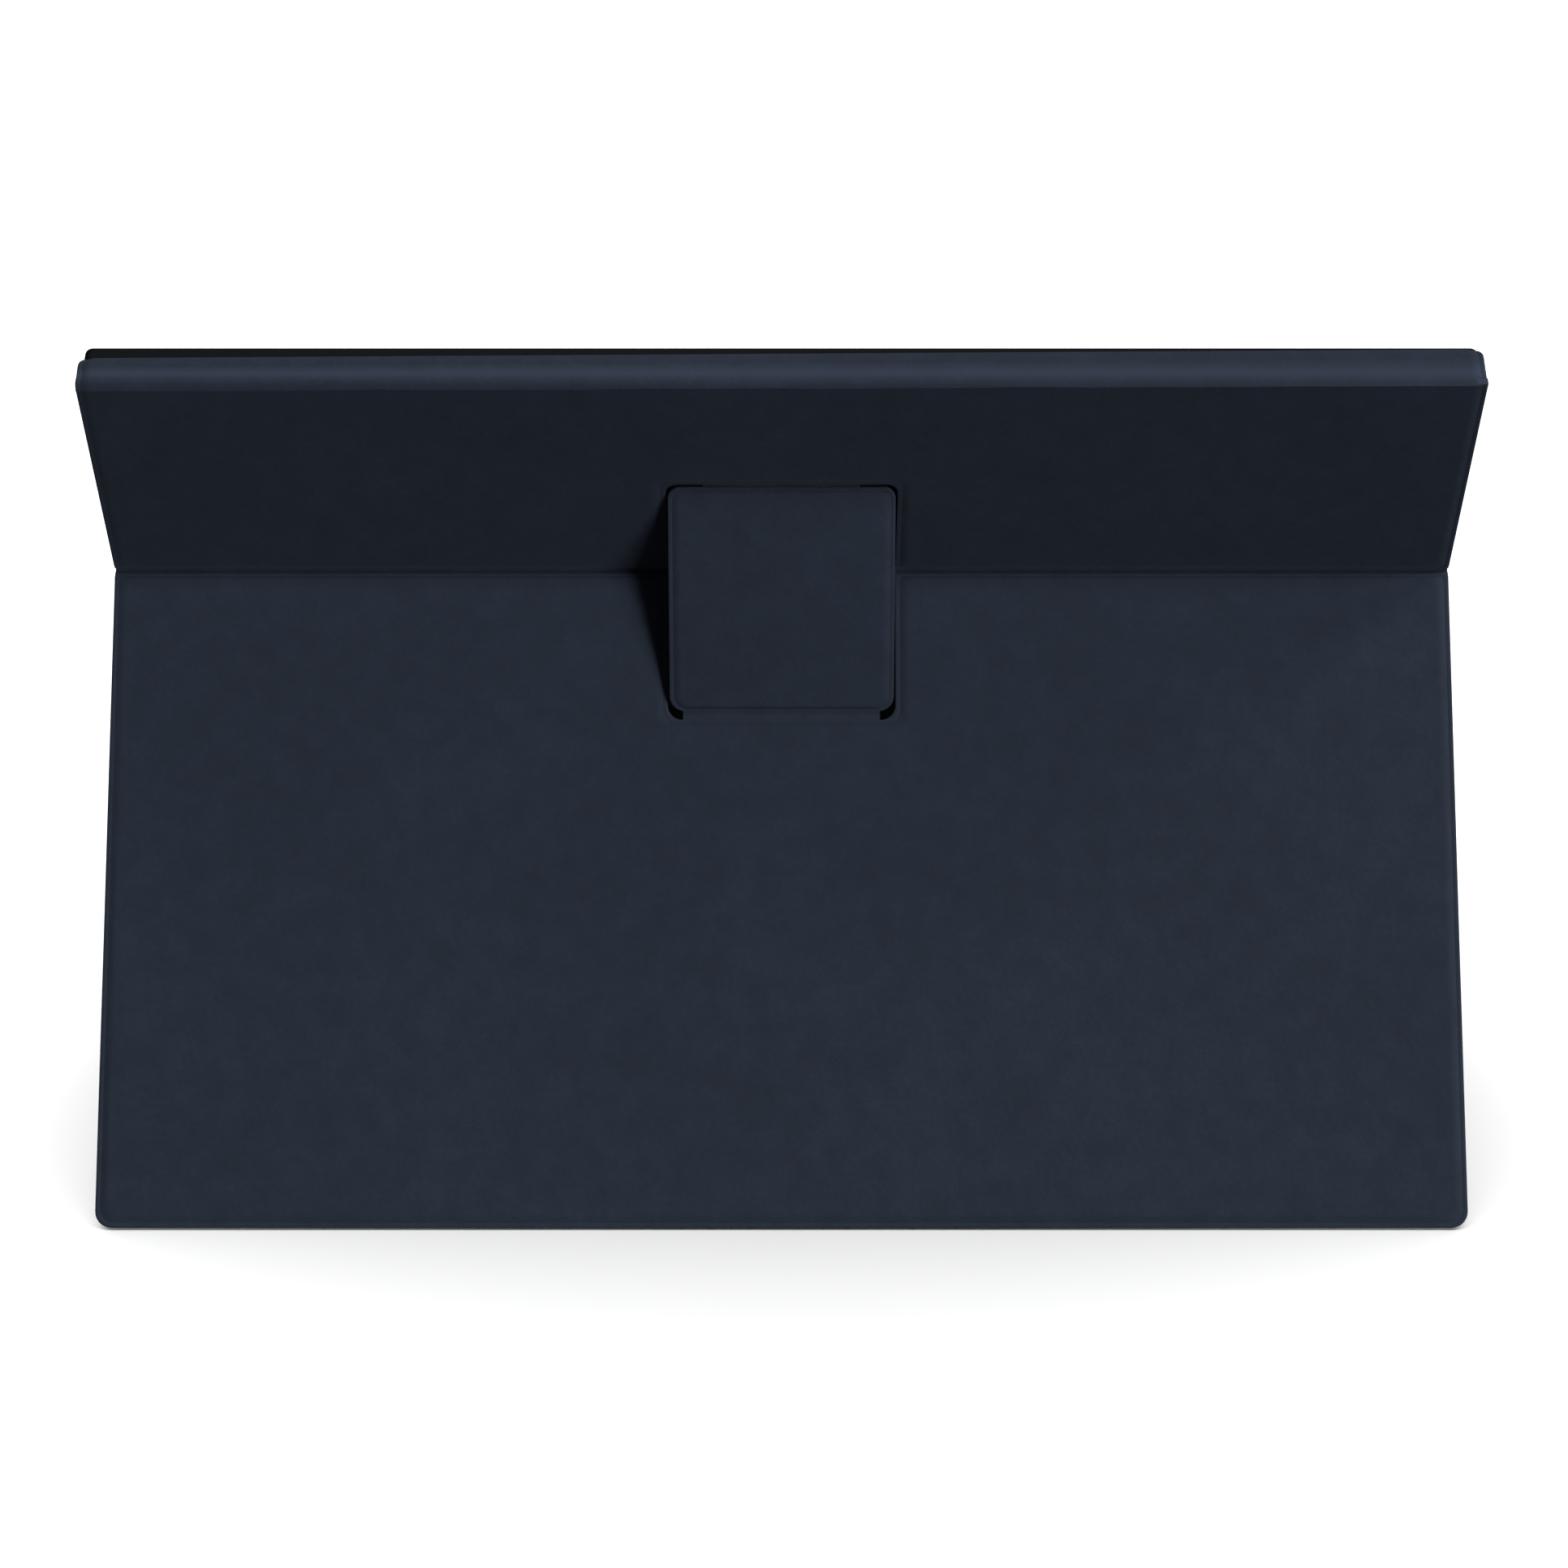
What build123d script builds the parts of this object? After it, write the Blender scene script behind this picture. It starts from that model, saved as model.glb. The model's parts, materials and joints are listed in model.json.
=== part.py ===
from build123d import *

import os
from math import acos, asin, atan2, cos, degrees, hypot, radians, sin

# Tablet keyboard case, standing open. Millimetres, +Z up, desk at Z = 0, keyboard towards -Y.
# The cover is drawn flat in a pattern frame: x across, y up the cover from the fold line, and z the
# depth from the outer face towards the tablet. The tray keeps that frame, leaned back. The leg and
# the tab are the same flat pieces turned about their living hinges.

# The tablet that the tray holds, which isn't part of the case
TABLET_W = 290.5
TABLET_H = 199.0
TABLET_T = 7.5
TABLET_CLEARANCE = 0.25

# Tray
TRAY_WALL = 1.5
TRAY_FLOOR = 1.0
TRAY_CORNER_R = 2.0
TRAY_LEAN = 33.0
LINING_T = 0.4
LIP_T = 0.5
LIP_REACH = 0.7
BUTTON_SLOT = (34.0, 3.6)
PORT_SLOT = (11.0, 3.6)
AUDIO_SLOT = (6.0, 3.6)
SLOT_FROM_TOP = 26.0

# Fabric cover: skin outside, board in the middle, lining inside, pressed flat along every edge
SKIN_T = 0.6
BOARD_T = 1.0
RIM_W = 2.5
FOLD_RIM_W = 1.0
RIM_DROP = 0.3
SIDE_OVERHANG = 0.75
FOOT_OVERHANG = 1.2
PANEL_L = 59.6
WRAP_DEPTH = 7.2
PANEL_CORNER_R = 2.0
LEG_FOOT_R = 3.5
CLOSED_CLEARANCE = 0.3
HINGE_GAP = 2.0
HINGE_T = 0.8

# Strut tab and the notch that it leaves
TAB_W = 49.3
TAB_L = 51.4
TAB_HINGE_DOWN = 32.8
TAB_SIDE_GAP = 0.4
TAB_TIP_R = 2.0
TAB_TIP_CLEARANCE = 0.3
NOTCH_TOP = 28.3
NOTCH_R = 3.0

# Magnets and the steel that they hold to
MAGNET_T = BOARD_T
LEG_MAGNET = (22.0, 6.0)
LEG_MAGNET_X = (-110.0, -45.0, 45.0, 110.0)
LEG_MAGNET_UP = 8.0
TAB_MAGNET = (34.0, 6.0)
TAB_MAGNET_FROM_TIP = 7.0
KEEPER_T = 0.5
KEEPER_MARGIN = 1.0

# Spine bar under the tray's bottom wall, with the contacts that feed the keyboard
SPINE_H = 10.4
SPINE_REAR_R = 3.0
SPINE_FRONT_R = 1.2
SPINE_END_INSET = 4.0
SPINE_MAGNET = (24.0, 4.0, 3.0)
SPINE_MAGNET_X = (-120.0, -80.0, -42.0, 42.0, 80.0, 120.0)
CONTACT_BLOCK = (26.0, 4.0, 5.0)
CONTACT_COUNT = 5
CONTACT_PITCH = 3.6
CONTACT_PIN_R = 0.6
CONTACT_REACH = 0.4
CONTACT_WINDOW_MARGIN = 0.6
FLEX_W = 16.0
FLEX_T = 0.2

# Keyboard deck
DECK_TOP = 6.0
DECK_CORNER_R = 4.0
DECK_HINGE_BELOW_TOP = 0.8
DECK_HINGE_AHEAD = 1.0
DECK_REAR_GAP = 2.2
HINGE_GRIP = 2.4
HINGE_END_INSET = 6.0
FOOT_T = 0.5
FOOT_PAD = (46.0, 7.0)
FOOT_INSET = 9.0
DECK_SKIN_T = 0.5
BASE_T = 0.8
SCREW_HEAD_R = 1.6
SCREW_SHANK_R = 0.7
SCREW_SHANK_L = 2.0
SCREW_INSET = 4.2

# Keys
KEY_UNITS = 15.0
KEY_SIDE_MARGIN = 7.0
KEY_REAR_MARGIN = 17.0
KEY_PITCH = 18.6
FUNCTION_PITCH = 12.4
KEY_GAP = 3.0
KEY_CLEARANCE = 0.4
KEY_R = 1.6
KEY_ABOVE_DECK = 0.4
KEY_CAP_H = 2.2
KEY_CAP_T = 0.9
KEY_EDGE_R = 0.3
KEY_TRAVEL = 1.2
ARROW_SPLIT_GAP = 1.0
WEB_T = 0.8
WELL_MARGIN = 1.5
PLATE_T = 0.5
MEMBRANE_T = 0.3
DOME_BASE_R = 2.4
DOME_TOP_R = 1.4
LINK_BAR = 0.9
LINK_T = 0.5
LINK_OUTER_W = 11.0
LINK_SIDE_GAP = 0.4
LINK_TILT = 7.0

# Trackpad
TRACKPAD_W = 112.0
TRACKPAD_MARGIN = 9.0
TRACKPAD_R = 3.0
TRACKPAD_T = 1.0
TRACKPAD_RECESS = 0.1
TRACKPAD_CLEARANCE = 0.4
TRACKPAD_BOARD_T = 0.8
TRACKPAD_BOARD_INSET = 2.0
SWITCH = (6.0, 3.5)
SWITCH_PLAY = 0.5
BRACKET_T = 0.5

# Controller behind the keys, and the magnets that hold the deck shut
BOARD = (70.0, 9.0, 0.8)
CHIP = (7.0, 7.0, 0.9)
SOCKET = (18.0, 2.4, 1.0)
POCKET_MARGIN = 0.8
POCKET_H = 2.4
DECK_MAGNET = (20.0, 5.0, 2.0)
DECK_MAGNET_X = (-118.0, 118.0)

# What follows from those sizes
COVER_T = SKIN_T + BOARD_T + LINING_T + CLOSED_CLEARANCE
LEG_T = SKIN_T + BOARD_T + LINING_T
POCKET_W = TABLET_W + 2 * TABLET_CLEARANCE
POCKET_D = TABLET_H + 2 * TABLET_CLEARANCE
TRAY_W = POCKET_W + 2 * TRAY_WALL
TRAY_H = POCKET_D + 2 * TRAY_WALL
TRAY_TOP = PANEL_L - SKIN_T
TRAY_BOTTOM = TRAY_TOP - TRAY_H
TRAY_BACK = COVER_T
TRAY_FRONT = TRAY_BACK + TRAY_FLOOR + LINING_T + TABLET_T + LIP_T
COVER_W = TRAY_W + 2 * SIDE_OVERHANG
LEG_L = FOOT_OVERHANG - TRAY_BOTTOM
NOTCH_W = TAB_W + 2 * TAB_SIDE_GAP
HINGE_DEPTH = RIM_DROP + HINGE_T / 2
SPINE_BOTTOM = TRAY_BOTTOM - SPINE_H

# The spine bar's rounded rear edge stands on the desk, which sets the fold's height
spine_centre_y = SPINE_BOTTOM + SPINE_REAR_R
spine_centre_z = TRAY_BACK + SPINE_REAR_R
lean_cos, lean_sin = cos(radians(TRAY_LEAN)), sin(radians(TRAY_LEAN))
FOLD_Z = SPINE_REAR_R - spine_centre_y * lean_cos - spine_centre_z * lean_sin

# The leg turns about the hinge fabric's middle, until its inner foot edge meets the desk
fold_axis_y = -HINGE_DEPTH * lean_cos
fold_axis_z = FOLD_Z + HINGE_DEPTH * lean_sin
foot_depth = LEG_T - HINGE_DEPTH
LEG_LEAN = degrees(atan2(foot_depth, LEG_L) + acos(fold_axis_z / hypot(LEG_L, foot_depth)))
LEG_OPEN = TRAY_LEAN + LEG_LEAN

# The tab's inner tip edge lies just off the tray's back
tip_depth = LEG_T - HINGE_DEPTH
tip_reach = hypot(TAB_L, tip_depth)
tip_rise = COVER_T - TAB_TIP_CLEARANCE - HINGE_DEPTH + TAB_HINGE_DOWN * sin(radians(LEG_OPEN))
TAB_TO_TRAY = degrees(asin(tip_rise / tip_reach) - atan2(tip_depth, TAB_L))
TAB_OPEN = LEG_OPEN - TAB_TO_TRAY

# The deck's hinge line lies ahead of the tray's front by more than it lies below the deck's top
DECK_OPEN = 90.0 + TRAY_LEAN
DECK_FLAT = 180.0 - DECK_OPEN
deck_axis_z = DECK_TOP - DECK_HINGE_BELOW_TOP
deck_axis_depth = TRAY_FRONT + DECK_HINGE_AHEAD
deck_axis_up = (deck_axis_z - FOLD_Z - deck_axis_depth * lean_sin) / lean_cos
deck_axis_y = deck_axis_up * lean_sin - deck_axis_depth * lean_cos
DECK_D = PANEL_L - deck_axis_up - DECK_REAR_GAP
DECK_W = COVER_W
DECK_REAR = deck_axis_y - DECK_REAR_GAP

# Heights in the deck
BASE_SKIN_Z = FOOT_T
BASE_Z = BASE_SKIN_Z + DECK_SKIN_T
FRAME_Z = BASE_Z + BASE_T
FRAME_TOP = DECK_TOP - DECK_SKIN_T
MEMBRANE_Z = FRAME_Z + PLATE_T
DOME_Z = MEMBRANE_Z + MEMBRANE_T
KEY_TOP = DECK_TOP + KEY_ABOVE_DECK
KEY_UNDER = KEY_TOP - KEY_CAP_T
KEY_SKIRT = KEY_TOP - KEY_CAP_H

# Key field, measured forward from the deck's rear edge
unit = (DECK_W - 2 * KEY_SIDE_MARGIN) / KEY_UNITS
KEY_FIELD_D = FUNCTION_PITCH + 5 * KEY_PITCH
PALM_D = DECK_D - KEY_REAR_MARGIN - KEY_FIELD_D
TRACKPAD_D = PALM_D - 2 * TRACKPAD_MARGIN
FIELD_REAR = DECK_REAR - KEY_REAR_MARGIN
TRACKPAD_REAR = FIELD_REAR - KEY_FIELD_D - TRACKPAD_MARGIN
TRACKPAD_TOP = DECK_TOP - TRACKPAD_RECESS
TRACKPAD_TURN = degrees(atan2(SWITCH_PLAY, TRACKPAD_D))

nodes = {}


def plate(outline, z_low, thickness):
    """A flat outline made solid, from z_low upwards."""
    return Pos(0, 0, z_low) * extrude(outline, thickness)


def block(size, centre):
    """A box of the given size about its centre."""
    return Pos(*centre) * Box(*size)


def rectangle(width, y_low, y_high, radius):
    """A rounded rectangle, centred on x = 0."""
    return Pos(0, (y_low + y_high) / 2) * RectangleRounded(width, y_high - y_low, radius)


def cover_part(length, radius, fold_edge, notch):
    """A panel of the given length from the fold line, above it or, where that's negative, below:
    round corners at its far end, cut straight at fold_edge, and without the notch."""
    whole = rectangle(COVER_W, -abs(length), abs(length), radius)
    kept_half = Pos(0, fold_edge + length) * Rectangle(2 * COVER_W, 2 * abs(length))
    return (whole & kept_half) - notch


def group(pieces):
    """Separate solids kept together as one node."""
    return Compound([solid for piece in pieces for solid in piece.solids()])


def turned(shape, y, z, angle):
    """The shape turned about the line along x through (y, z)."""
    return Pos(0, y, z) * Rot(angle, 0, 0) * Pos(0, -y, -z) * shape


def on_tray(shape):
    """A piece in the cover's pattern frame, put where the tray leans."""
    tray_plane = Plane(origin=(0, 0, FOLD_Z), x_dir=(1, 0, 0), z_dir=(0, -lean_cos, lean_sin))
    return tray_plane.location * shape


def on_leg(shape):
    """A piece in the cover's pattern frame, swung out with the leg."""
    return on_tray(turned(shape, 0, HINGE_DEPTH, LEG_OPEN))


def on_tab(shape):
    """A piece in the cover's pattern frame, swung out with the leg and turned with the tab."""
    return on_leg(turned(shape, -TAB_HINGE_DOWN, HINGE_DEPTH, -TAB_OPEN))


def bent_hinge(width, x, y, bend):
    """A strip of bare fabric over a fold line at height y, whose lower half is turned by bend."""
    half = block((width, HINGE_GAP / 2, HINGE_T), (x, y + HINGE_GAP / 4, HINGE_DEPTH))
    lower = block((width, HINGE_GAP / 2, HINGE_T), (x, y - HINGE_GAP / 4, HINGE_DEPTH))
    middle = Pos(x, y, HINGE_DEPTH) * Rot(0, 90, 0) * Cylinder(HINGE_T / 2, width)
    return half + middle + turned(lower, y, HINGE_DEPTH, bend)


def bonded_panel(outline, spread, thickness, pockets):
    """The skin and the board of a panel: the board fills a plateau that stands RIM_W inside the
    spread outline, and the skin is pressed against what lies behind it all round. Returns both."""
    plateau = offset(spread, -RIM_W)
    board = plate(plateau, SKIN_T, thickness - SKIN_T)
    skin = plate(outline, RIM_DROP, thickness - RIM_DROP) + plate(plateau, 0, RIM_DROP) - board
    for pocket in pockets:
        board -= pocket
    return skin, board


# Tray
tray_outline = rectangle(TRAY_W, TRAY_BOTTOM, TRAY_TOP, TRAY_CORNER_R)
pocket_low, pocket_high = TRAY_BOTTOM + TRAY_WALL, TRAY_TOP - TRAY_WALL
pocket_outline = rectangle(POCKET_W, pocket_low, pocket_high, TRAY_CORNER_R - TRAY_WALL)
mouth_outline = offset(pocket_outline, -LIP_REACH)
floor_top = TRAY_BACK + TRAY_FLOOR
shell = plate(tray_outline, TRAY_BACK, TRAY_FRONT - TRAY_BACK)
shell -= plate(pocket_outline, floor_top, TRAY_FRONT - LIP_T - floor_top)
shell -= plate(mouth_outline, floor_top, TRAY_FRONT - floor_top)
pocket_middle = (floor_top + TRAY_FRONT - LIP_T) / 2 + LINING_T / 2
for side, slot in ((-1, BUTTON_SLOT), (1, PORT_SLOT)):
    slot_y = pocket_high - SLOT_FROM_TOP - slot[0] / 2
    shell -= block((3 * TRAY_WALL, slot[0], slot[1]), (side * TRAY_W / 2, slot_y, pocket_middle))
audio_y = pocket_low + SLOT_FROM_TOP + AUDIO_SLOT[0] / 2
shell -= block((3 * TRAY_WALL, AUDIO_SLOT[0], AUDIO_SLOT[1]), (TRAY_W / 2, audio_y, pocket_middle))

contact_z = pocket_middle
window_size = (CONTACT_COUNT * CONTACT_PITCH + CONTACT_WINDOW_MARGIN, 2 * TRAY_WALL)
window_h = 2 * (CONTACT_PIN_R + CONTACT_WINDOW_MARGIN)
shell -= block((window_size[0], window_size[1], window_h), (0, TRAY_BOTTOM, contact_z))

tab_keeper_low = -TAB_HINGE_DOWN + HINGE_GAP
tab_keeper_size = (TAB_MAGNET[0], NOTCH_TOP - tab_keeper_low - 2 * KEEPER_MARGIN, KEEPER_T)
tab_keeper_y = (NOTCH_TOP + tab_keeper_low) / 2
tab_keeper = block(tab_keeper_size, (0, tab_keeper_y, TRAY_BACK + KEEPER_T / 2))
leg_magnet_y = -LEG_L + LEG_MAGNET_UP
leg_keepers = [
    block((LEG_MAGNET[0], LEG_MAGNET[1], KEEPER_T), (x, leg_magnet_y, TRAY_BACK + KEEPER_T / 2))
    for x in LEG_MAGNET_X
]
for keeper in [tab_keeper, *leg_keepers]:
    shell -= keeper
nodes["tray_shell"] = on_tray(shell)
nodes["tray_lining"] = on_tray(plate(pocket_outline, floor_top, LINING_T))
nodes["tab_keeper_plate"] = on_tray(tab_keeper)
nodes["leg_keeper_plates"] = on_tray(group(leg_keepers))

# Upper panel, bonded to the top of the tray's back, with its skin wrapped over the top wall
upper_notch = rectangle(NOTCH_W, -NOTCH_TOP, NOTCH_TOP, NOTCH_R)
fold_edge, spread_edge = HINGE_GAP / 2, HINGE_GAP / 2 + FOLD_RIM_W - RIM_W
upper_outline = cover_part(PANEL_L, PANEL_CORNER_R, fold_edge, upper_notch)
upper_spread = cover_part(PANEL_L, PANEL_CORNER_R, spread_edge, upper_notch)
upper_skin, upper_board = bonded_panel(upper_outline, upper_spread, COVER_T, [])
wrap_outline = offset(tray_outline, SKIN_T) - tray_outline
wrap_low = TRAY_TOP - TRAY_CORNER_R
wrap_outline &= rectangle(COVER_W, wrap_low, PANEL_L + TRAY_CORNER_R, TRAY_WALL)
nodes["upper_skin"] = on_tray(upper_skin + plate(wrap_outline, COVER_T, WRAP_DEPTH - COVER_T))
nodes["upper_board"] = on_tray(upper_board)

# Leg
notch_bottom = -TAB_HINGE_DOWN - HINGE_GAP / 2
leg_notch = rectangle(NOTCH_W, notch_bottom, -notch_bottom, NOTCH_R)
leg_outline = cover_part(-LEG_L, LEG_FOOT_R, -fold_edge, leg_notch)
leg_spread = cover_part(-LEG_L, LEG_FOOT_R, -spread_edge, leg_notch)
magnet_z = SKIN_T + MAGNET_T / 2
leg_magnets = [
    block((LEG_MAGNET[0], LEG_MAGNET[1], MAGNET_T), (x, leg_magnet_y, magnet_z)) for x in LEG_MAGNET_X
]
leg_skin, leg_board = bonded_panel(leg_outline, leg_spread, SKIN_T + BOARD_T, leg_magnets)
nodes["leg_skin"] = on_leg(leg_skin)
nodes["leg_board"] = on_leg(leg_board)
nodes["leg_lining"] = on_leg(plate(leg_outline, SKIN_T + BOARD_T, LINING_T))
nodes["leg_magnets"] = on_leg(group(leg_magnets))

# Strut tab
tab_low = -TAB_HINGE_DOWN + HINGE_GAP / 2
tab_high = TAB_L - TAB_HINGE_DOWN
tab_outline = rectangle(TAB_W, tab_low, tab_high, TAB_TIP_R)
tab_magnet = block((*TAB_MAGNET, MAGNET_T), (0, tab_high - TAB_MAGNET_FROM_TIP, magnet_z))
tab_skin, tab_board = bonded_panel(tab_outline, tab_outline, SKIN_T + BOARD_T, [tab_magnet])
nodes["tab_skin"] = on_tab(tab_skin)
nodes["tab_board"] = on_tab(tab_board)
nodes["tab_lining"] = on_tab(plate(tab_outline, SKIN_T + BOARD_T, LINING_T))
nodes["tab_magnet"] = on_tab(tab_magnet)

# Living hinges of bare fabric
fold_strip_w = (COVER_W - NOTCH_W) / 2
fold_strip_x = NOTCH_W / 2 + fold_strip_w / 2
nodes["fold_hinge_fabric"] = on_tray(
    group(bent_hinge(fold_strip_w, side * fold_strip_x, 0, LEG_OPEN) for side in (-1, 1))
)
tab_strip_w = TAB_W - 2 * NOTCH_R
tab_strip = bent_hinge(tab_strip_w, 0, -TAB_HINGE_DOWN, TAB_OPEN)
nodes["tab_hinge_fabric"] = on_tab(tab_strip)

# Spine bar: a moulded core in a fabric sleeve, drawn in section and run along x
spine_w = TRAY_W - 2 * SPINE_END_INSET


def spine_section(inset):
    """The bar's section in (y, z), with its two lower edges rounded, pulled in by inset."""
    low, back, front = SPINE_BOTTOM + inset, TRAY_BACK + inset, TRAY_FRONT - inset
    rear_r, front_r = SPINE_REAR_R - inset, SPINE_FRONT_R - inset
    outline = Polyline(
        (low + rear_r, back), (TRAY_BOTTOM, back), (TRAY_BOTTOM, front), (low + front_r, front)
    )
    front_arc = RadiusArc((low + front_r, front), (low, front - front_r), front_r)
    bottom = Line((low, front - front_r), (low, back + rear_r))
    rear_arc = RadiusArc((low, back + rear_r), (low + rear_r, back), rear_r)
    return make_face([*outline.edges(), front_arc, bottom, rear_arc])


def along_x(section, width):
    """A section drawn in (y, z), made solid along x about x = 0."""
    across = Plane(origin=(-width / 2, 0, 0), x_dir=(0, 1, 0), z_dir=(1, 0, 0))
    return across.location * extrude(section, width)


def grip_strip(width, thickness):
    """The deck's hinge strip: out of the bar, bent at the hinge line, into the deck."""
    tray_l = DECK_HINGE_AHEAD + HINGE_GRIP
    tray_part = block((width, thickness, tray_l), (0, deck_axis_up, deck_axis_depth - tray_l / 2))
    deck_l = DECK_REAR_GAP + HINGE_GRIP
    deck_part = block((width, deck_l, thickness), (0, deck_axis_y - deck_l / 2, deck_axis_z))
    middle = Pos(0, deck_axis_y, deck_axis_z) * Rot(0, 90, 0) * Cylinder(thickness / 2, width)
    return on_tray(tray_part) + middle + deck_part


spine_core = along_x(spine_section(SKIN_T), spine_w)
spine_skin = along_x(spine_section(0), spine_w) - spine_core
spine_magnet_y = TRAY_BOTTOM - SPINE_MAGNET[1] / 2
spine_magnets = [block(SPINE_MAGNET, (x, spine_magnet_y, contact_z)) for x in SPINE_MAGNET_X]
contact_block = block(CONTACT_BLOCK, (0, TRAY_BOTTOM - CONTACT_BLOCK[1] / 2, contact_z))
for fitted in [*spine_magnets, contact_block]:
    spine_core -= fitted
pin_l = TRAY_WALL + CONTACT_REACH + CONTACT_BLOCK[1] / 2
pin_y = pocket_low + CONTACT_REACH - pin_l / 2
contact_pins = [
    Pos((n - (CONTACT_COUNT - 1) / 2) * CONTACT_PITCH, pin_y, contact_z)
    * Rot(90, 0, 0)
    * Cylinder(CONTACT_PIN_R, pin_l)
    for n in range(CONTACT_COUNT)
]
for pin in contact_pins:
    contact_block -= pin
hinge_strip = grip_strip(spine_w - 2 * HINGE_END_INSET, HINGE_T)
flex_strip = grip_strip(FLEX_W, FLEX_T)
nodes["spine_core"] = on_tray(spine_core) - hinge_strip
nodes["spine_skin"] = on_tray(spine_skin) - hinge_strip
nodes["spine_magnets"] = on_tray(group(spine_magnets))
nodes["contact_block"] = on_tray(contact_block)
nodes["contact_pins"] = on_tray(group(contact_pins))
nodes["deck_hinge_fabric"] = hinge_strip - flex_strip
nodes["hinge_flex"] = flex_strip

# Keys: each row runs across the deck from -x, in key units
KEY_ROWS = (
    (FUNCTION_PITCH, [("function_keys", 1)] * 15),
    (KEY_PITCH, [("number_keys", 1)] * 13 + [("backspace_key", 2)]),
    (KEY_PITCH, [("tab_key", 1.5)] + [("upper_letter_keys", 1)] * 12 + [("backslash_key", 1.5)]),
    (KEY_PITCH, [("caps_lock_key", 1.75)] + [("home_letter_keys", 1)] * 11 + [("enter_key", 2.25)]),
    (
        KEY_PITCH,
        [("left_shift_key", 2.25)] + [("lower_letter_keys", 1)] * 10 + [("right_shift_key", 2.75)],
    ),
    (
        KEY_PITCH,
        [("modifier_keys", 1.25), ("modifier_keys", 1), ("modifier_keys", 1), ("modifier_keys", 1.25)]
        + [("space_key", 5.5), ("modifier_keys", 1), ("modifier_keys", 1)]
        + [("left_arrow_key", 1), ("up_down_arrow_keys", 1), ("right_arrow_key", 1)],
    ),
)


def key_places():
    """Every key's node, centre and cap size. The up and down arrows share one key's place."""
    y = FIELD_REAR
    for pitch, row in KEY_ROWS:
        x = -DECK_W / 2 + KEY_SIDE_MARGIN
        depth = pitch - KEY_GAP
        for node, units in row:
            centre_x, width = x + units * unit / 2, units * unit - KEY_GAP
            if node == "up_down_arrow_keys":
                half = (depth - ARROW_SPLIT_GAP) / 2
                step = (half + ARROW_SPLIT_GAP) / 2
                yield "up_arrow_key", centre_x, y - pitch / 2 + step, width, half
                yield "down_arrow_key", centre_x, y - pitch / 2 - step, width, half
            else:
                yield node, centre_x, y - pitch / 2, width, depth
            x += units * unit
        y -= pitch


def key_cap(width, depth):
    """A hollow cap with its top face at KEY_TOP, its top edge softened."""
    cap = Pos(0, 0, KEY_SKIRT) * extrude(RectangleRounded(width, depth, KEY_R), KEY_CAP_H)
    cap = fillet(cap.faces().sort_by(Axis.Z)[-1].edges(), KEY_EDGE_R)
    inside = RectangleRounded(width - 2 * KEY_CAP_T, depth - 2 * KEY_CAP_T, KEY_R - KEY_CAP_T)
    return cap - Pos(0, 0, KEY_SKIRT) * extrude(inside, KEY_CAP_H - KEY_CAP_T)


def link_frame(width, depth, tilt):
    """One scissor frame, a tilted ring under the cap."""
    ring = Box(width, depth, LINK_T) - Box(width - 2 * LINK_BAR, depth - 2 * LINK_BAR, LINK_T)
    return Pos(0, 0, (DOME_Z + KEY_UNDER) / 2) * Rot(tilt, 0, 0) * ring


key_holes = Sketch()
keys, domes, links = {}, [], []
for node, x, y, width, depth in key_places():
    keys.setdefault(node, []).append(Pos(x, y, 0) * key_cap(width, depth))
    hole_w, hole_d = width + 2 * KEY_CLEARANCE, depth + 2 * KEY_CLEARANCE
    key_holes += Pos(x, y) * RectangleRounded(hole_w, hole_d, KEY_R + KEY_CLEARANCE)
    dome_h = KEY_UNDER - DOME_Z
    domes.append(Pos(x, y, DOME_Z + dome_h / 2) * Cone(DOME_BASE_R, DOME_TOP_R, dome_h))
    link_d = depth - 2 * KEY_CAP_T - 2 * LINK_SIDE_GAP
    if link_d > 2 * (DOME_BASE_R + LINK_BAR):
        inner_w = LINK_OUTER_W - 2 * (LINK_BAR + LINK_SIDE_GAP)
        links.append(Pos(x, y, 0) * link_frame(LINK_OUTER_W, link_d, LINK_TILT))
        links.append(Pos(x, y, 0) * link_frame(inner_w, link_d, -LINK_TILT))
for node, caps in keys.items():
    nodes[node] = group(caps)
nodes["rubber_domes"] = group(domes)
nodes["scissor_links"] = group(links)

# Deck: base, frame with its wells, key web and the two fabric skins
deck_front = DECK_REAR - DECK_D
deck_outline = rectangle(DECK_W, deck_front, DECK_REAR, DECK_CORNER_R)
frame_outline = offset(deck_outline, -DECK_SKIN_T)
field_front = FIELD_REAR - KEY_FIELD_D
well_w = DECK_W - 2 * KEY_SIDE_MARGIN + 2 * WELL_MARGIN
well_outline = rectangle(well_w, field_front - WELL_MARGIN, FIELD_REAR + WELL_MARGIN, KEY_R)
trackpad_front = TRACKPAD_REAR - TRACKPAD_D
trackpad_outline = rectangle(TRACKPAD_W, trackpad_front, TRACKPAD_REAR, TRACKPAD_R)
trackpad_hole = offset(trackpad_outline, TRACKPAD_CLEARANCE)

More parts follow.
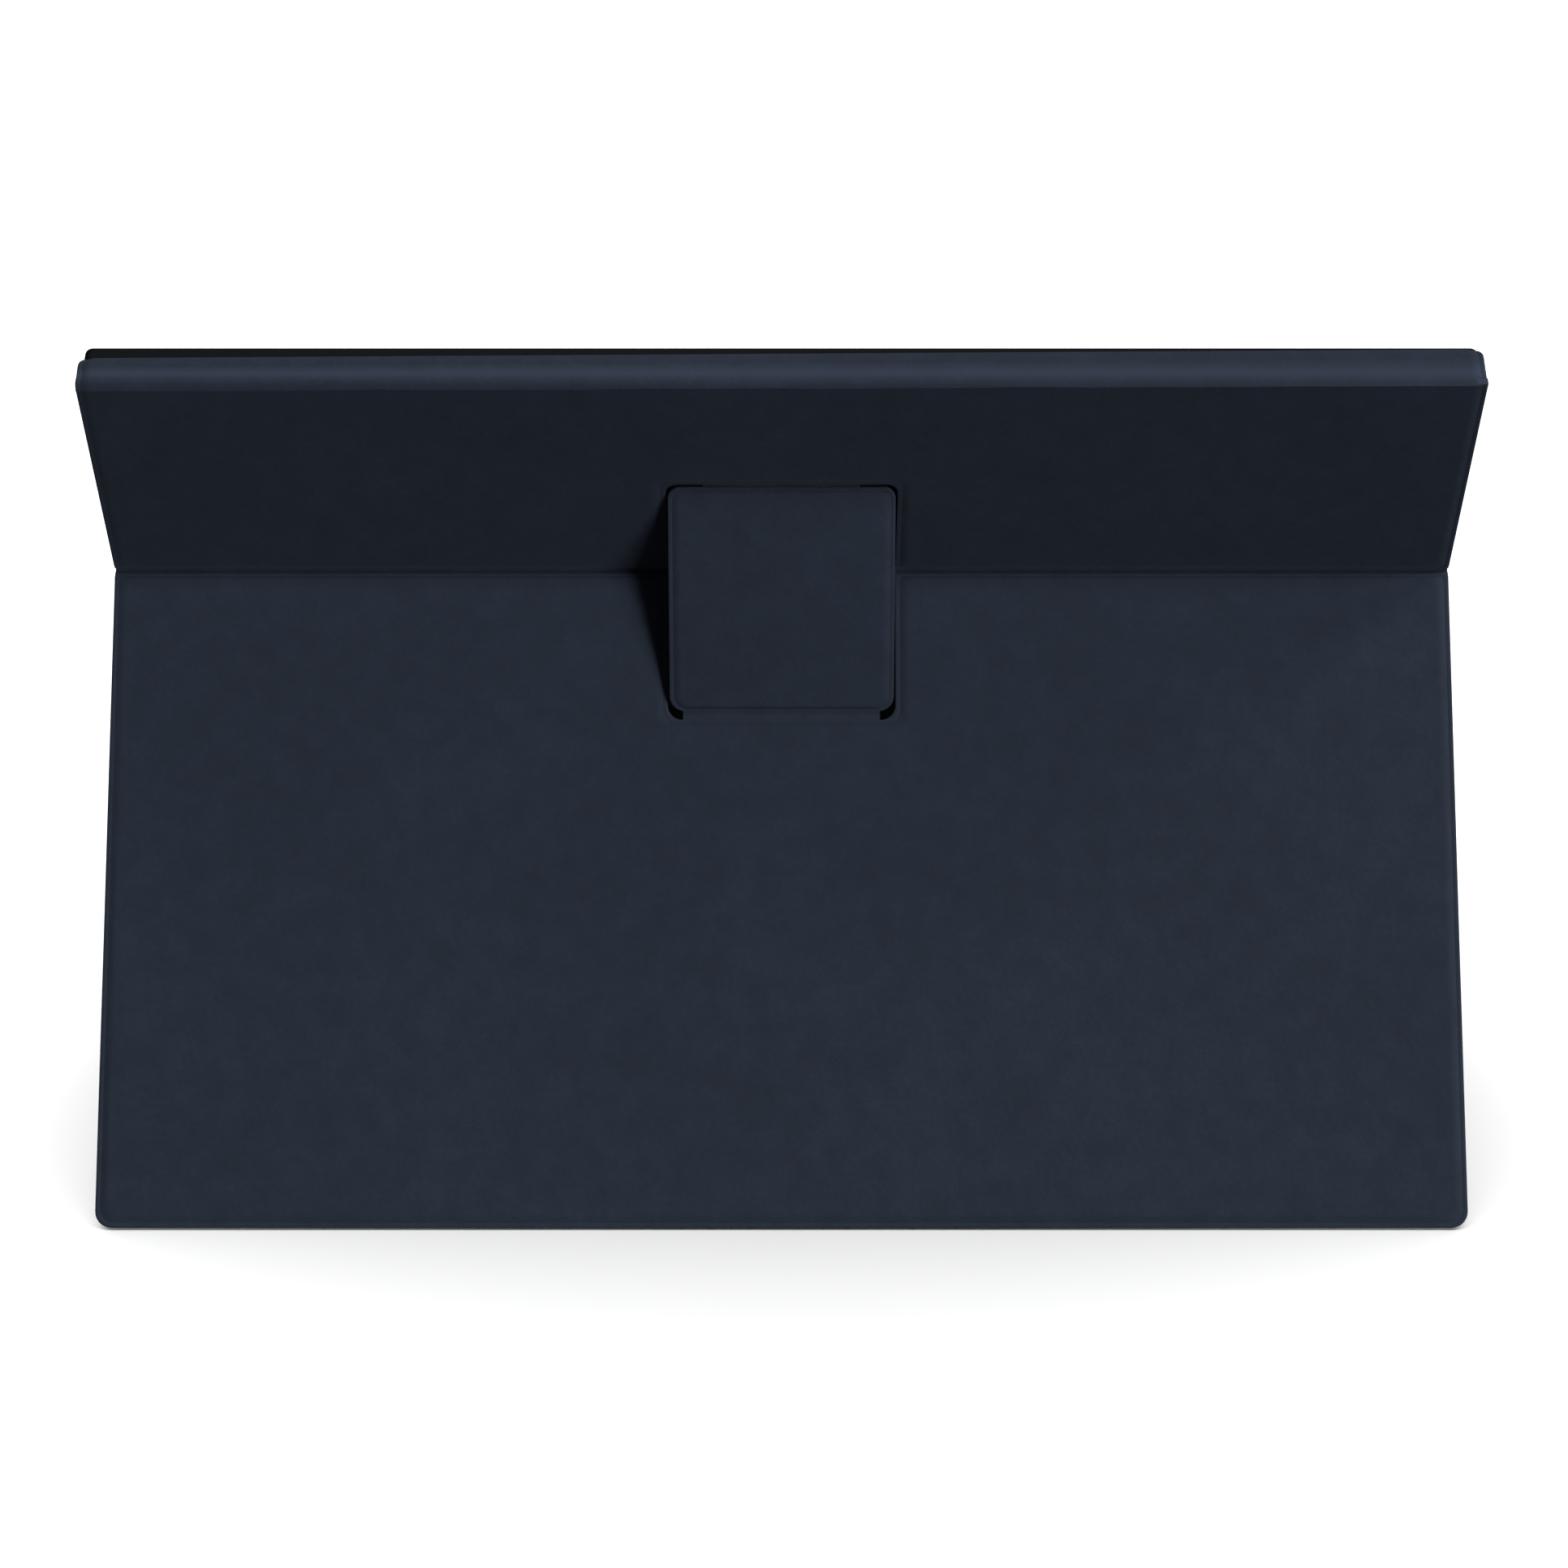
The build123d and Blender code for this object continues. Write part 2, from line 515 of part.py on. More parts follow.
board_y = DECK_REAR - HINGE_GRIP - POCKET_MARGIN - BOARD[1] / 2 - DECK_SKIN_T
board_centre = (0, board_y, FRAME_Z + BOARD[2] / 2)
pocket_size = (BOARD[0] + 2 * POCKET_MARGIN, BOARD[1] + 2 * POCKET_MARGIN, POCKET_H)
magnet_y = deck_front + DECK_MAGNET[1] / 2 + 2 * DECK_SKIN_T + POCKET_MARGIN
magnet_mid_z = FRAME_TOP - DECK_MAGNET[2] / 2
deck_magnets = [block(DECK_MAGNET, (x, magnet_y, magnet_mid_z)) for x in DECK_MAGNET_X]
screw_rear, screw_front = DECK_REAR - HINGE_GRIP - SCREW_INSET, deck_front + 3 * SCREW_INSET
screw_ys = (screw_rear, field_front - SCREW_INSET, screw_front)
screw_x = DECK_W / 2 - SCREW_INSET
screws = []
for x in (-screw_x, screw_x):
    for y in screw_ys:
        head = Pos(x, y, BASE_Z + BASE_T / 2) * Cylinder(SCREW_HEAD_R, BASE_T)
        shank = Pos(x, y, FRAME_Z + SCREW_SHANK_L / 2) * Cylinder(SCREW_SHANK_R, SCREW_SHANK_L)
        screws.append(head + shank)

frame = plate(frame_outline - well_outline - trackpad_hole, FRAME_Z, FRAME_TOP - FRAME_Z)
frame -= block(pocket_size, (0, board_y, FRAME_Z + POCKET_H / 2))
flex_way_l = DECK_REAR - board_y
frame -= block((FLEX_W, flex_way_l, HINGE_T), (0, DECK_REAR - flex_way_l / 2, deck_axis_z))
base = plate(frame_outline, BASE_Z, BASE_T)
for fitted in [*screws, *deck_magnets]:
    frame -= fitted
    base -= fitted
side_skin = plate(deck_outline - frame_outline, BASE_Z, FRAME_TOP - BASE_Z)
nodes["deck_frame"] = frame - hinge_strip
nodes["deck_base_plate"] = base
nodes["deck_base_skin"] = plate(deck_outline, BASE_SKIN_Z, DECK_SKIN_T) + side_skin - hinge_strip
top_skin = plate(deck_outline - key_holes - trackpad_hole, FRAME_TOP, DECK_SKIN_T)
nodes["deck_top_skin"] = top_skin - hinge_strip
nodes["key_web"] = plate(well_outline - key_holes, FRAME_TOP - WEB_T, WEB_T)
nodes["key_plate"] = plate(well_outline, FRAME_Z, PLATE_T)
nodes["key_membrane"] = plate(well_outline, MEMBRANE_Z, MEMBRANE_T)
nodes["deck_magnets"] = group(deck_magnets)
nodes["deck_screws"] = group(screws)
foot_x = DECK_W / 2 - FOOT_INSET - FOOT_PAD[0] / 2
foot_ys = (DECK_REAR - FOOT_INSET, deck_front + FOOT_INSET)
nodes["deck_feet"] = group(
    Pos(x, y, 0) * extrude(SlotOverall(*FOOT_PAD), FOOT_T) for x in (-foot_x, foot_x) for y in foot_ys
)
nodes["controller_board"] = block(BOARD, board_centre)
chip_z = FRAME_Z + BOARD[2] + CHIP[2] / 2
nodes["controller_chip"] = block(CHIP, (BOARD[0] / 4, board_y, chip_z))
socket_y = board_y + (BOARD[1] - SOCKET[1]) / 2
nodes["board_socket"] = block(SOCKET, (0, socket_y, FRAME_Z + BOARD[2] + SOCKET[2] / 2))

# Trackpad: its plate and board tip about the rear edge on to a switch
board_outline = offset(trackpad_outline, -TRACKPAD_BOARD_INSET)
nodes["trackpad_plate"] = plate(trackpad_outline, TRACKPAD_TOP - TRACKPAD_T, TRACKPAD_T)
trackpad_board_z = TRACKPAD_TOP - TRACKPAD_T - TRACKPAD_BOARD_T
nodes["trackpad_board"] = plate(board_outline, trackpad_board_z, TRACKPAD_BOARD_T)
nodes["trackpad_bracket"] = plate(trackpad_outline, FRAME_Z, BRACKET_T)
switch_h = trackpad_board_z - SWITCH_PLAY - FRAME_Z - BRACKET_T
switch_y = trackpad_front + TRACKPAD_BOARD_INSET + SWITCH[1]
switch_centre = (0, switch_y, FRAME_Z + BRACKET_T + switch_h / 2)
nodes["trackpad_switch"] = block((*SWITCH, switch_h), switch_centre)

# Everything moves so that the origin is the middle of the whole case's footprint
whole = group(nodes.values()).bounding_box()
ORIGIN_Y = (whole.min.Y + whole.max.Y) / 2
os.makedirs("parts", exist_ok=True)
for name, shape in nodes.items():
    export_step(Pos(0, -ORIGIN_Y, 0) * shape, f"parts/{name}.step")
print("nodes", len(nodes), "size", whole.size, "lowest", round(whole.min.Z, 4))
print("leg opens", round(LEG_OPEN, 3), "tab opens", round(TAB_OPEN, 3), "fold height", round(FOLD_Z, 2))
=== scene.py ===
import json
import logging
from dataclasses import dataclass, field
from enum import Enum
from math import cos, pi, radians, sin

import bmesh
import bpy
import numpy as np
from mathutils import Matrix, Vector


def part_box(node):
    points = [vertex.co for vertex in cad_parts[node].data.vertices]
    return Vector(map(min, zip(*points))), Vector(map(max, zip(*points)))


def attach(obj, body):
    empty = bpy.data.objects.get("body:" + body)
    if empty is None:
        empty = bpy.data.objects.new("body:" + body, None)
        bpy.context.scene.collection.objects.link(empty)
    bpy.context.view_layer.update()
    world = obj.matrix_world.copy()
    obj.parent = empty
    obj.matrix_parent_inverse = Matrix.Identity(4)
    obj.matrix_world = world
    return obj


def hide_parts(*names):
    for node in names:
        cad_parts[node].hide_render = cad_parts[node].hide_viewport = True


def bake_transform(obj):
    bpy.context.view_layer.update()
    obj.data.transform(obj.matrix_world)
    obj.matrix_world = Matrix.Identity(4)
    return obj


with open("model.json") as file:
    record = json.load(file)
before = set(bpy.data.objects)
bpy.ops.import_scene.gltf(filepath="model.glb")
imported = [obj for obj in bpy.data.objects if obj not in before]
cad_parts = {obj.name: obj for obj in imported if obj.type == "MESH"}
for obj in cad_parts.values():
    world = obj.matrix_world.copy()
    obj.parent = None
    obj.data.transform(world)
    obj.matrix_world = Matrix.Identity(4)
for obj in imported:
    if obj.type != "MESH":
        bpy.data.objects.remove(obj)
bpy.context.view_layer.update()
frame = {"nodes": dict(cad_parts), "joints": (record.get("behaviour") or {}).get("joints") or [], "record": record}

MM = 0.001
SHARP_DEGREES = 40
VALLEY_HALF = 0.0005
WAVE_PERIOD = 0.31  # the length of one band of a wave texture whose scale is 1
log = logging.getLogger("keyboard_case")


class Slot(Enum):
    """The record's material slots that the pieces take their finish from."""

    FABRIC = "fabric"
    DECK_FABRIC = "deck_fabric"
    LINING = "lining"
    TRAY = "tray_plastic"
    BOARD = "board"
    CORE = "core_plastic"
    MAGNET = "magnet"
    STEEL = "steel"
    GOLD = "gold"
    FLEX = "flex"
    CIRCUIT = "circuit_board"
    CHIP = "chip"
    RUBBER = "rubber"
    TRACKPAD = "trackpad"
    KEYCAP = "keycap"


# ---------------------------------------------------------------------------------------------
# Shader sums


class Value:
    """A number socket that takes part in Python sums, each of which adds a Math node."""

    def __init__(self, graph: "Graph", socket: bpy.types.NodeSocket) -> None:
        """Wraps one output socket of the graph."""
        self.graph = graph
        self.socket = socket

    def _sum(self, operation: str, first: object, second: object) -> "Value":
        """Adds one Math node.

        Args:
            operation: the Math node's operation.
            first: its first value, a Value or a number.
            second: its second value, a Value or a number.

        Returns:
            The node's result.
        """
        node = self.graph.node("ShaderNodeMath", {"operation": operation}, {0: first, 1: second})
        return Value(self.graph, node.outputs[0])

    def __add__(self, other: object) -> "Value":
        """This value plus another."""
        return self._sum("ADD", self, other)

    __radd__ = __add__

    def __sub__(self, other: object) -> "Value":
        """This value less another."""
        return self._sum("SUBTRACT", self, other)

    def __rsub__(self, other: object) -> "Value":
        """Another less this value."""
        return self._sum("SUBTRACT", other, self)

    def __mul__(self, other: object) -> "Value":
        """This value times another."""
        return self._sum("MULTIPLY", self, other)

    __rmul__ = __mul__

    def clamped(self) -> "Value":
        """This value kept from 0 to 1."""
        node = self.graph.node("ShaderNodeClamp", {}, {"Value": self})
        return Value(self.graph, node.outputs[0])


class Graph:
    """One material's nodes, around its Principled shader."""

    def __init__(self, name: str) -> None:
        """Starts a material with a Principled shader in it."""
        self.material = bpy.data.materials.new(name)
        self.material.use_nodes = True
        self.tree = self.material.node_tree
        self.shader = self.tree.nodes["Principled BSDF"]
        coordinates = self.tree.nodes.new("ShaderNodeTexCoord")
        self.place = coordinates.outputs["Object"]

    def node(self, kind: str, settings: dict, sockets: dict) -> bpy.types.Node:
        """Adds any node.

        Args:
            kind: the node's type.
            settings: the node's own properties, set first.
            sockets: what each input gets, by name or number: a Value, a socket or plain numbers.

        Returns:
            The new node.
        """
        made = self.tree.nodes.new(kind)
        for key, value in settings.items():
            setattr(made, key, value)
        for key, value in sockets.items():
            self.feed(made.inputs[key], value)
        return made

    def feed(self, socket: bpy.types.NodeSocket, value: object) -> None:
        """Links or sets one input socket."""
        if isinstance(value, Value):
            self.tree.links.new(value.socket, socket)
        elif isinstance(value, bpy.types.NodeSocket):
            self.tree.links.new(value, socket)
        else:
            socket.default_value = value

    def noise(self, size: float, detail: float = 2.0, stretch: tuple = (1.0, 1.0, 1.0)) -> Value:
        """Cloudy noise about a middle of 0, in object space.

        Args:
            size: how large its clouds are, in metres.
            detail: how many finer layers it has.
            stretch: how much longer the clouds are along x, y and z.

        Returns:
            The noise, from about -0.5 to 0.5.
        """
        scale = tuple(1.0 / s for s in stretch)
        placed = self.node("ShaderNodeMapping", {}, {"Vector": self.place, "Scale": scale})
        sockets = {"Vector": placed.outputs[0], "Scale": 1.0 / size, "Detail": detail}
        made = self.node("ShaderNodeTexNoise", {}, sockets)
        return Value(self, made.outputs[0]) - 0.5

    def cells(self, size: float) -> Value:
        """The distance to the nearest of many scattered points, as share of their spacing."""
        sockets = {"Vector": self.place, "Scale": 1.0 / size}
        made = self.node("ShaderNodeTexVoronoi", {}, sockets)
        return Value(self, made.outputs["Distance"])

    def attribute(self, name: str) -> Value:
        """A number kept on the mesh's points."""
        made = self.node("ShaderNodeAttribute", {"attribute_name": name}, {})
        return Value(self, made.outputs["Fac"])

    def mixed(self, factor: object, low: tuple, high: object) -> bpy.types.NodeSocket:
        """A colour between two others.

        Args:
            factor: 0 for low and 1 for high.
            low: a colour or a colour socket.
            high: a colour or a colour socket.

        Returns:
            The colour socket.
        """
        settings = {"data_type": "RGBA", "clamp_factor": True}
        return self.node("ShaderNodeMix", settings, {0: factor, 6: low, 7: high}).outputs[2]

    def finish(self, inputs: dict, height: Value, depth: float) -> bpy.types.Material:
        """Feeds the shader.

        Args:
            inputs: what each of the shader's inputs gets.
            height: the relief that the surface has.
            depth: how deep that relief is, in metres.

        Returns:
            The finished material.
        """
        bump = self.node("ShaderNodeBump", {}, {"Strength": 1.0, "Distance": depth, "Height": height})
        self.tree.links.new(bump.outputs[0], self.shader.inputs["Normal"])
        for key, value in inputs.items():
            self.feed(self.shader.inputs[key], value)
        return self.material


def rgba(colour: tuple, gain: float = 1.0) -> tuple:
    """A colour as four numbers, made lighter by gain."""
    return tuple(min(c * gain, 1.0) for c in colour) + (1.0,)


# ---------------------------------------------------------------------------------------------
# Finishes


@dataclass(frozen=True)
class Microfibre:
    """Brushed microfibre: cloudy nap, single fibres, edges pressed smooth, and a painted highlight along cut
    edges.

    Its tints are the sizes of its four kinds of cloud, in metres.
    """

    colour: tuple
    contrast: float = 0.3
    broad: float = 0.55
    mottle: float = 0.75
    nap: float = 0.7
    sheen: float = 0.08
    roughness: float = 0.9
    relief: float = 0.00008
    tints: tuple = (0.045, 0.006, 0.0013, 0.0003)

    def material(self, name: str) -> bpy.types.Material:
        """Builds it.

        Args:
            name: the material's name.

        Returns:
            The material. Its colour runs from dark to light by the sum of four sizes of cloud, and a painted
            highlight lightens it where the cut mark is.
        """
        graph = Graph(name)
        broad, mottle = graph.noise(self.tints[0], 2.0), graph.noise(self.tints[1], 3.0)
        nap, fibre = graph.noise(self.tints[2], 3.0), graph.noise(self.tints[3], 2.0)
        pressed, cut = graph.attribute("pressed"), graph.attribute("cut")
        tone = 0.5 + broad * self.broad + mottle * self.mottle + nap * self.nap + fibre * 0.5
        low, high = rgba(self.colour, 1 - self.contrast), rgba(self.colour, 1 + self.contrast)
        base = graph.mixed(tone, low, high)
        # painted highlight: the colour is lightened towards 2.2 times the fabric's along the cut edges, by the cut
        # mark
        colour = graph.mixed(cut * 0.6, base, rgba(self.colour, 2.2))
        inputs = {
            "Base Color": colour,
            "Roughness": (self.roughness + nap * 0.12 - pressed * 0.06).clamped(),
            "Sheen Weight": self.sheen,
            "Sheen Roughness": 0.45,
            "Sheen Tint": (0.72, 0.8, 1.0, 1.0),
            "Specular IOR Level": 0.25,
        }
        height = nap * 0.8 + fibre * 0.5 + mottle * 0.9
        return graph.finish(inputs, height * (1 - pressed * 0.4), self.relief)


@dataclass(frozen=True)
class Moulded:
    """Moulded or cast plastic and rubber, with a spark-eroded grain."""

    colour: tuple
    roughness: float = 0.5
    grain: float = 0.00025
    relief: float = 0.00002
    coat: float = 0.0
    polish: float = 0.0
    cloud: float = 0.8
    shine: float = 0.5

    def material(self, name: str) -> bpy.types.Material:
        """Builds it.

        Args:
            name: the material's name.

        Returns:
            The material. The polish attribute, where a mesh has it, makes it smoother.
        """
        graph = Graph(name)
        broad, grain = graph.noise(0.02, 3.0), graph.noise(self.grain, 2.0)
        pits = graph.cells(self.grain * 1.6)
        rubbed = graph.attribute("polish")
        low, high = rgba(self.colour, 0.8), rgba(self.colour, 1.25)
        inputs = {
            "Base Color": graph.mixed(0.5 + broad * self.cloud + grain * 0.4, low, high),
            "Roughness": (
                self.roughness + broad * (self.cloud * 0.19) + grain * 0.1 - rubbed * self.polish
            ).clamped(),
            "Coat Weight": self.coat,
            "Coat Roughness": 0.25,
            "Specular IOR Level": self.shine,
        }
        return graph.finish(inputs, grain * 0.6 + pits * 0.7, self.relief)


@dataclass(frozen=True)
class Metal:
    """Rolled, brushed or plated metal, with fine lines along x."""

    colour: tuple
    roughness: float = 0.35
    line: float = 0.00012

    def material(self, name: str) -> bpy.types.Material:
        """Builds it.

        Args:
            name: the material's name.

        Returns:
            The material. Its lines are noise drawn out forty times along x.
        """
        graph = Graph(name)
        lines, stain = graph.noise(self.line, 2.0, (40.0, 1.0, 1.0)), graph.noise(0.008, 3.0)
        low, high = rgba(self.colour, 0.8), rgba(self.colour, 1.12)
        inputs = {
            "Base Color": graph.mixed(0.5 + stain * 0.7 + lines * 0.5, low, high),
            "Roughness": (self.roughness + lines * 0.25 + stain * 0.2).clamped(),
            "Metallic": 1.0,
        }
        return graph.finish(inputs, lines, 0.000008)


@dataclass(frozen=True)
class Laminate:
    """Woven glass laminate, bare or under a coloured mask."""

    colour: tuple
    roughness: float = 0.45
    strand: float = 0.0005
    coat: float = 0.3

    def material(self, name: str) -> bpy.types.Material:
        """Builds it.

        Args:
            name: the material's name.

        Returns:
            The material. Two sets of waves crossing at right angles are the weave.
        """
        graph = Graph(name)
        waves = []
        for direction in ("X", "Y"):
            settings = {"wave_type": "BANDS", "bands_direction": direction}
            sockets = {"Vector": graph.place, "Scale": WAVE_PERIOD / self.strand, "Distortion": 0.6}
            made = graph.node("ShaderNodeTexWave", settings, sockets)
            waves.append(Value(graph, made.outputs["Fac"]))
        weave = waves[0] * waves[1]
        stain = graph.noise(0.006, 3.0)
        low, high = rgba(self.colour, 0.75), rgba(self.colour, 1.3)
        inputs = {
            "Base Color": graph.mixed(weave * 0.7 + 0.2 + stain * 0.5, low, high),
            "Roughness": (self.roughness + stain * 0.2).clamped(),
            "Coat Weight": self.coat,
            "Coat Roughness": 0.2,
        }
        return graph.finish(inputs, weave, 0.00002)


NAVY = (0.0183, 0.0263, 0.0430)
DECK_SHADE = 0.92
FINISHES = {
    Slot.FABRIC: Microfibre(NAVY),
    Slot.DECK_FABRIC: Microfibre(tuple(c * DECK_SHADE for c in NAVY), sheen=0.2),
    Slot.LINING: Microfibre((0.012, 0.0135, 0.018), contrast=0.35, sheen=0.15),
    Slot.TRAY: Moulded((0.0045, 0.0055, 0.0075), roughness=0.8, shine=0.12),
    Slot.BOARD: Laminate((0.045, 0.05, 0.045), coat=0.05),
    Slot.CORE: Moulded((0.012, 0.013, 0.016), roughness=0.6, grain=0.0004),
    Slot.MAGNET: Metal((0.45, 0.45, 0.46), roughness=0.22),
    Slot.STEEL: Metal((0.32, 0.33, 0.34), roughness=0.38),
    Slot.GOLD: Metal((0.83, 0.62, 0.28), roughness=0.2),
    Slot.FLEX: Moulded((0.32, 0.13, 0.03), roughness=0.3, coat=0.4),
    Slot.CIRCUIT: Laminate((0.01, 0.06, 0.03)),
    Slot.CHIP: Moulded((0.015, 0.015, 0.016), roughness=0.55, grain=0.00015),
    Slot.RUBBER: Moulded((0.015, 0.015, 0.017), roughness=0.8, grain=0.0005),
    Slot.TRACKPAD: Moulded(
        (0.0105, 0.012, 0.016), roughness=0.5, grain=0.00012, relief=0.000004, cloud=0.2, shine=0.25
    ),
    Slot.KEYCAP: Moulded((0.010, 0.011, 0.014), roughness=0.66, grain=0.00018, polish=0.14, shine=0.2),
}
MATERIALS = {slot: finish.material(slot.value) for slot, finish in FINISHES.items()}


# ---------------------------------------------------------------------------------------------
# Meshes


@dataclass
class Shell:
    """A closed mesh: its points, its faces, and numbers kept on the points."""

    points: np.ndarray
    faces: list
    marks: dict = field(default_factory=dict)

    def outward(self) -> "Shell":
        """Turns every face round if the shell is inside out.

        Returns:
            The shell. Its volume is the sum, over a fan of triangles in each face, of a sixth of
            the product a . (b x c), which is negative if the faces point inwards.
        """
        fans = [(f[0], f[k], f[k + 1]) for f in self.faces for k in range(1, len(f) - 1)]
        a, b, c = self.points[np.array(fans)].transpose(1, 0, 2)
        if np.einsum("ij,ij->", a, np.cross(b, c)) < 0:
            self.faces = [f[::-1] for f in self.faces]
        return self

    def joined(self, other: "Shell") -> "Shell":
        """This shell and another as one mesh."""
        shift = len(self.points)
        faces = self.faces + [[i + shift for i in f] for f in other.faces]
        names = set(self.marks) | set(other.marks)
        marks = {
            n: np.concatenate(
                [
                    self.marks.get(n, np.zeros(shift)),
                    other.marks.get(n, np.zeros(len(other.points))),
                ]
            )
            for n in names
        }
        return Shell(np.vstack([self.points, other.points]), faces, marks)

    def piece(self, name: str, slot: Slot) -> bpy.types.Object:
        """Makes the Blender object.

        Args:
            name: the piece's name.
            slot: the finish that it takes.

        Returns:
            The object, at the origin, shaded smooth with sharp edges over SHARP_DEGREES.
        """
        mesh = bpy.data.meshes.new(name)
        mesh.from_pydata(self.points.tolist(), [], self.faces)
        for key, values in self.marks.items():
            layer = mesh.attributes.new(key, "FLOAT", "POINT")
            layer.data.foreach_set("value", np.asarray(values, np.float32))
        return dressed(name, mesh, slot)


def merged(shells: list) -> Shell:
    """Several shells as one mesh, in their order."""
    whole = shells[0]
    for shell in shells[1:]:
        whole = whole.joined(shell)
    return whole


def dressed(name: str, mesh: bpy.types.Mesh, slot: Slot) -> bpy.types.Object:
    """Gives a mesh its object, shading and finish.

    Args:
        name: the piece's name.
        mesh: its mesh.
        slot: the finish that it takes.

    Returns:
        The object.
    """
    mesh.validate()
    mesh.polygons.foreach_set("use_smooth", np.ones(len(mesh.polygons), bool))
    mesh.set_sharp_from_angle(angle=radians(SHARP_DEGREES))
    piece = bpy.data.objects.new(name, mesh)
    bpy.context.scene.collection.objects.link(piece)
    mesh.materials.clear()
    mesh.materials.append(MATERIALS[slot])
    log.info("%s: %d faces, %s", name, len(mesh.polygons), slot.value)
    return piece


def loft(rings: np.ndarray, **marks: np.ndarray) -> Shell:
    """Joins a stack of matching rings into one closed shell.

    Args:
        rings: points as (ring, place along it, xyz). Neighbouring rings are joined by four-sided
            faces, and the first and last ring are each closed by one flat face.
        marks: one number for each ring.

    Returns:
        The shell.
    """
    count, size, _ = rings.shape
    i, j = np.meshgrid(np.arange(count - 1), np.arange(size), indexing="ij")
    k = (j + 1) % size
    quads = np.stack([i * size + j, i * size + k, (i + 1) * size + k, (i + 1) * size + j], axis=-1)
    ends = [list(range(size))[::-1], list(range((count - 1) * size, count * size))]
    faces = quads.reshape(-1, 4).tolist() + ends
    repeated = {key: np.repeat(values, size) for key, values in marks.items()}
    return Shell(rings.reshape(-1, 3), faces, repeated).outward()


def closed_sheet(outer: np.ndarray, inner: np.ndarray, **marks: np.ndarray) -> Shell:
    """Closes two matching grids of points into one thin shell.

    Args:
        outer: the outer surface, as (row, column, xyz).
        inner: the inner surface, in the same places.
        marks: numbers on the outer grid's points, which the inner grid repeats.

    Returns:
        The shell, with walls from the one surface's border to the other's.
    """
    rows, columns, _ = outer.shape
    index = np.arange(rows * columns).reshape(rows, columns)
    quads = np.stack([index[:-1, :-1], index[1:, :-1], index[1:, 1:], index[:-1, 1:]], axis=-1)
    quads = quads.reshape(-1, 4)
    border = np.concatenate([index[0, :-1], index[:-1, -1], index[-1, :0:-1], index[:0:-1, 0]])
    after = np.roll(border, -1)
    shift = rows * columns
    walls = np.stack([border, after, after + shift, border + shift], axis=-1)
    faces = quads.tolist() + (quads[:, ::-1] + shift).tolist() + walls.tolist()
    points = np.vstack([outer.reshape(-1, 3), inner.reshape(-1, 3)])
    doubled = {key: np.tile(values.ravel(), 2) for key, values in marks.items()}
    return Shell(points, faces, doubled).outward()


@dataclass(frozen=True)
class Corner:
    """A corner of an outline, in millimetres.

    Its radius goes from edge to plateau as the outline is drawn in, and rim is the share of the
    inset that the side after this corner takes.
    """

    x: float
    y: float
    edge: float
    plateau: float
    rim: float = 1.0


@dataclass(frozen=True)
class Outline:
    """A closed outline with rounded corners, anticlockwise, that can be drawn in."""

    corners: tuple
    reach: float = 3.4
    arc_steps: int = 8
    side_steps: int = 14

    def ring(self, inset: float) -> np.ndarray:
        """The outline drawn in by inset.

        Args:
            inset: how far each side moves inwards, in millimetres, before its share.

        Returns:
            The points, as (place, xy) in metres. Each corner is where its two moved sides meet,
            rounded by an arc that turns from the one side's direction to the other's, and the
            sides between the arcs are divided evenly.
        """
        table = np.array([(c.x, c.y, c.edge, c.plateau, c.rim) for c in self.corners])
        spot, rim = table[:, :2], table[:, 4] * inset
        ahead = np.roll(spot, -1, axis=0) - spot
        ahead /= np.linalg.norm(ahead, axis=1, keepdims=True)
        behind = np.roll(ahead, 1, axis=0)
        cross = behind[:, 0] * ahead[:, 1] - behind[:, 1] * ahead[:, 0]
        dot = (behind * ahead).sum(axis=1)
        moved = np.roll(rim, 1)[:, None] * ahead - rim[:, None] * behind
        spot = spot + moved / cross[:, None]
        share = min(max(inset / self.reach, 0.0), 1.0)
        radius = table[:, 2] + (table[:, 3] - table[:, 2]) * share
        angle = np.arctan2(cross, dot)
        start = spot - behind * (radius * np.tan(np.abs(angle) / 2))[:, None]
        left = np.stack([-behind[:, 1], behind[:, 0]], axis=1) * (radius * np.sign(cross))[:, None]
        turn = angle[:, None] * np.linspace(0, 1, self.arc_steps)[None]
        spoke_x = -left[:, :1] * np.cos(turn) + left[:, 1:] * np.sin(turn)
        spoke_y = -left[:, :1] * np.sin(turn) - left[:, 1:] * np.cos(turn)
        arcs = (start + left)[:, None] + np.stack([spoke_x, spoke_y], axis=-1)
        along = np.linspace(0, 1, self.side_steps + 2)[1:-1][None, :, None]
        following = np.roll(arcs[:, :1], -1, axis=0)
        sides = arcs[:, -1:] + (following - arcs[:, -1:]) * along
        return np.concatenate([arcs, sides], axis=1).reshape(-1, 2) * MM


def box_outline(
    half_w: float, low: float, high: float, edge: float, plateau: float, **steps: int
) -> Outline:
    """A rounded rectangle about x = 0.

    Args:
        half_w: half its width, in millimetres.
        low: its lowest y.
        high: its highest y.
        edge: its corner radius.
        plateau: its corner radius where it is drawn in.
        steps: the outline's own reach and steps.

    Returns:
        The outline.
    """
    spots = ((-half_w, low), (half_w, low), (half_w, high), (-half_w, high))
    return Outline(tuple(Corner(x, y, edge, plateau) for x, y in spots), **steps)


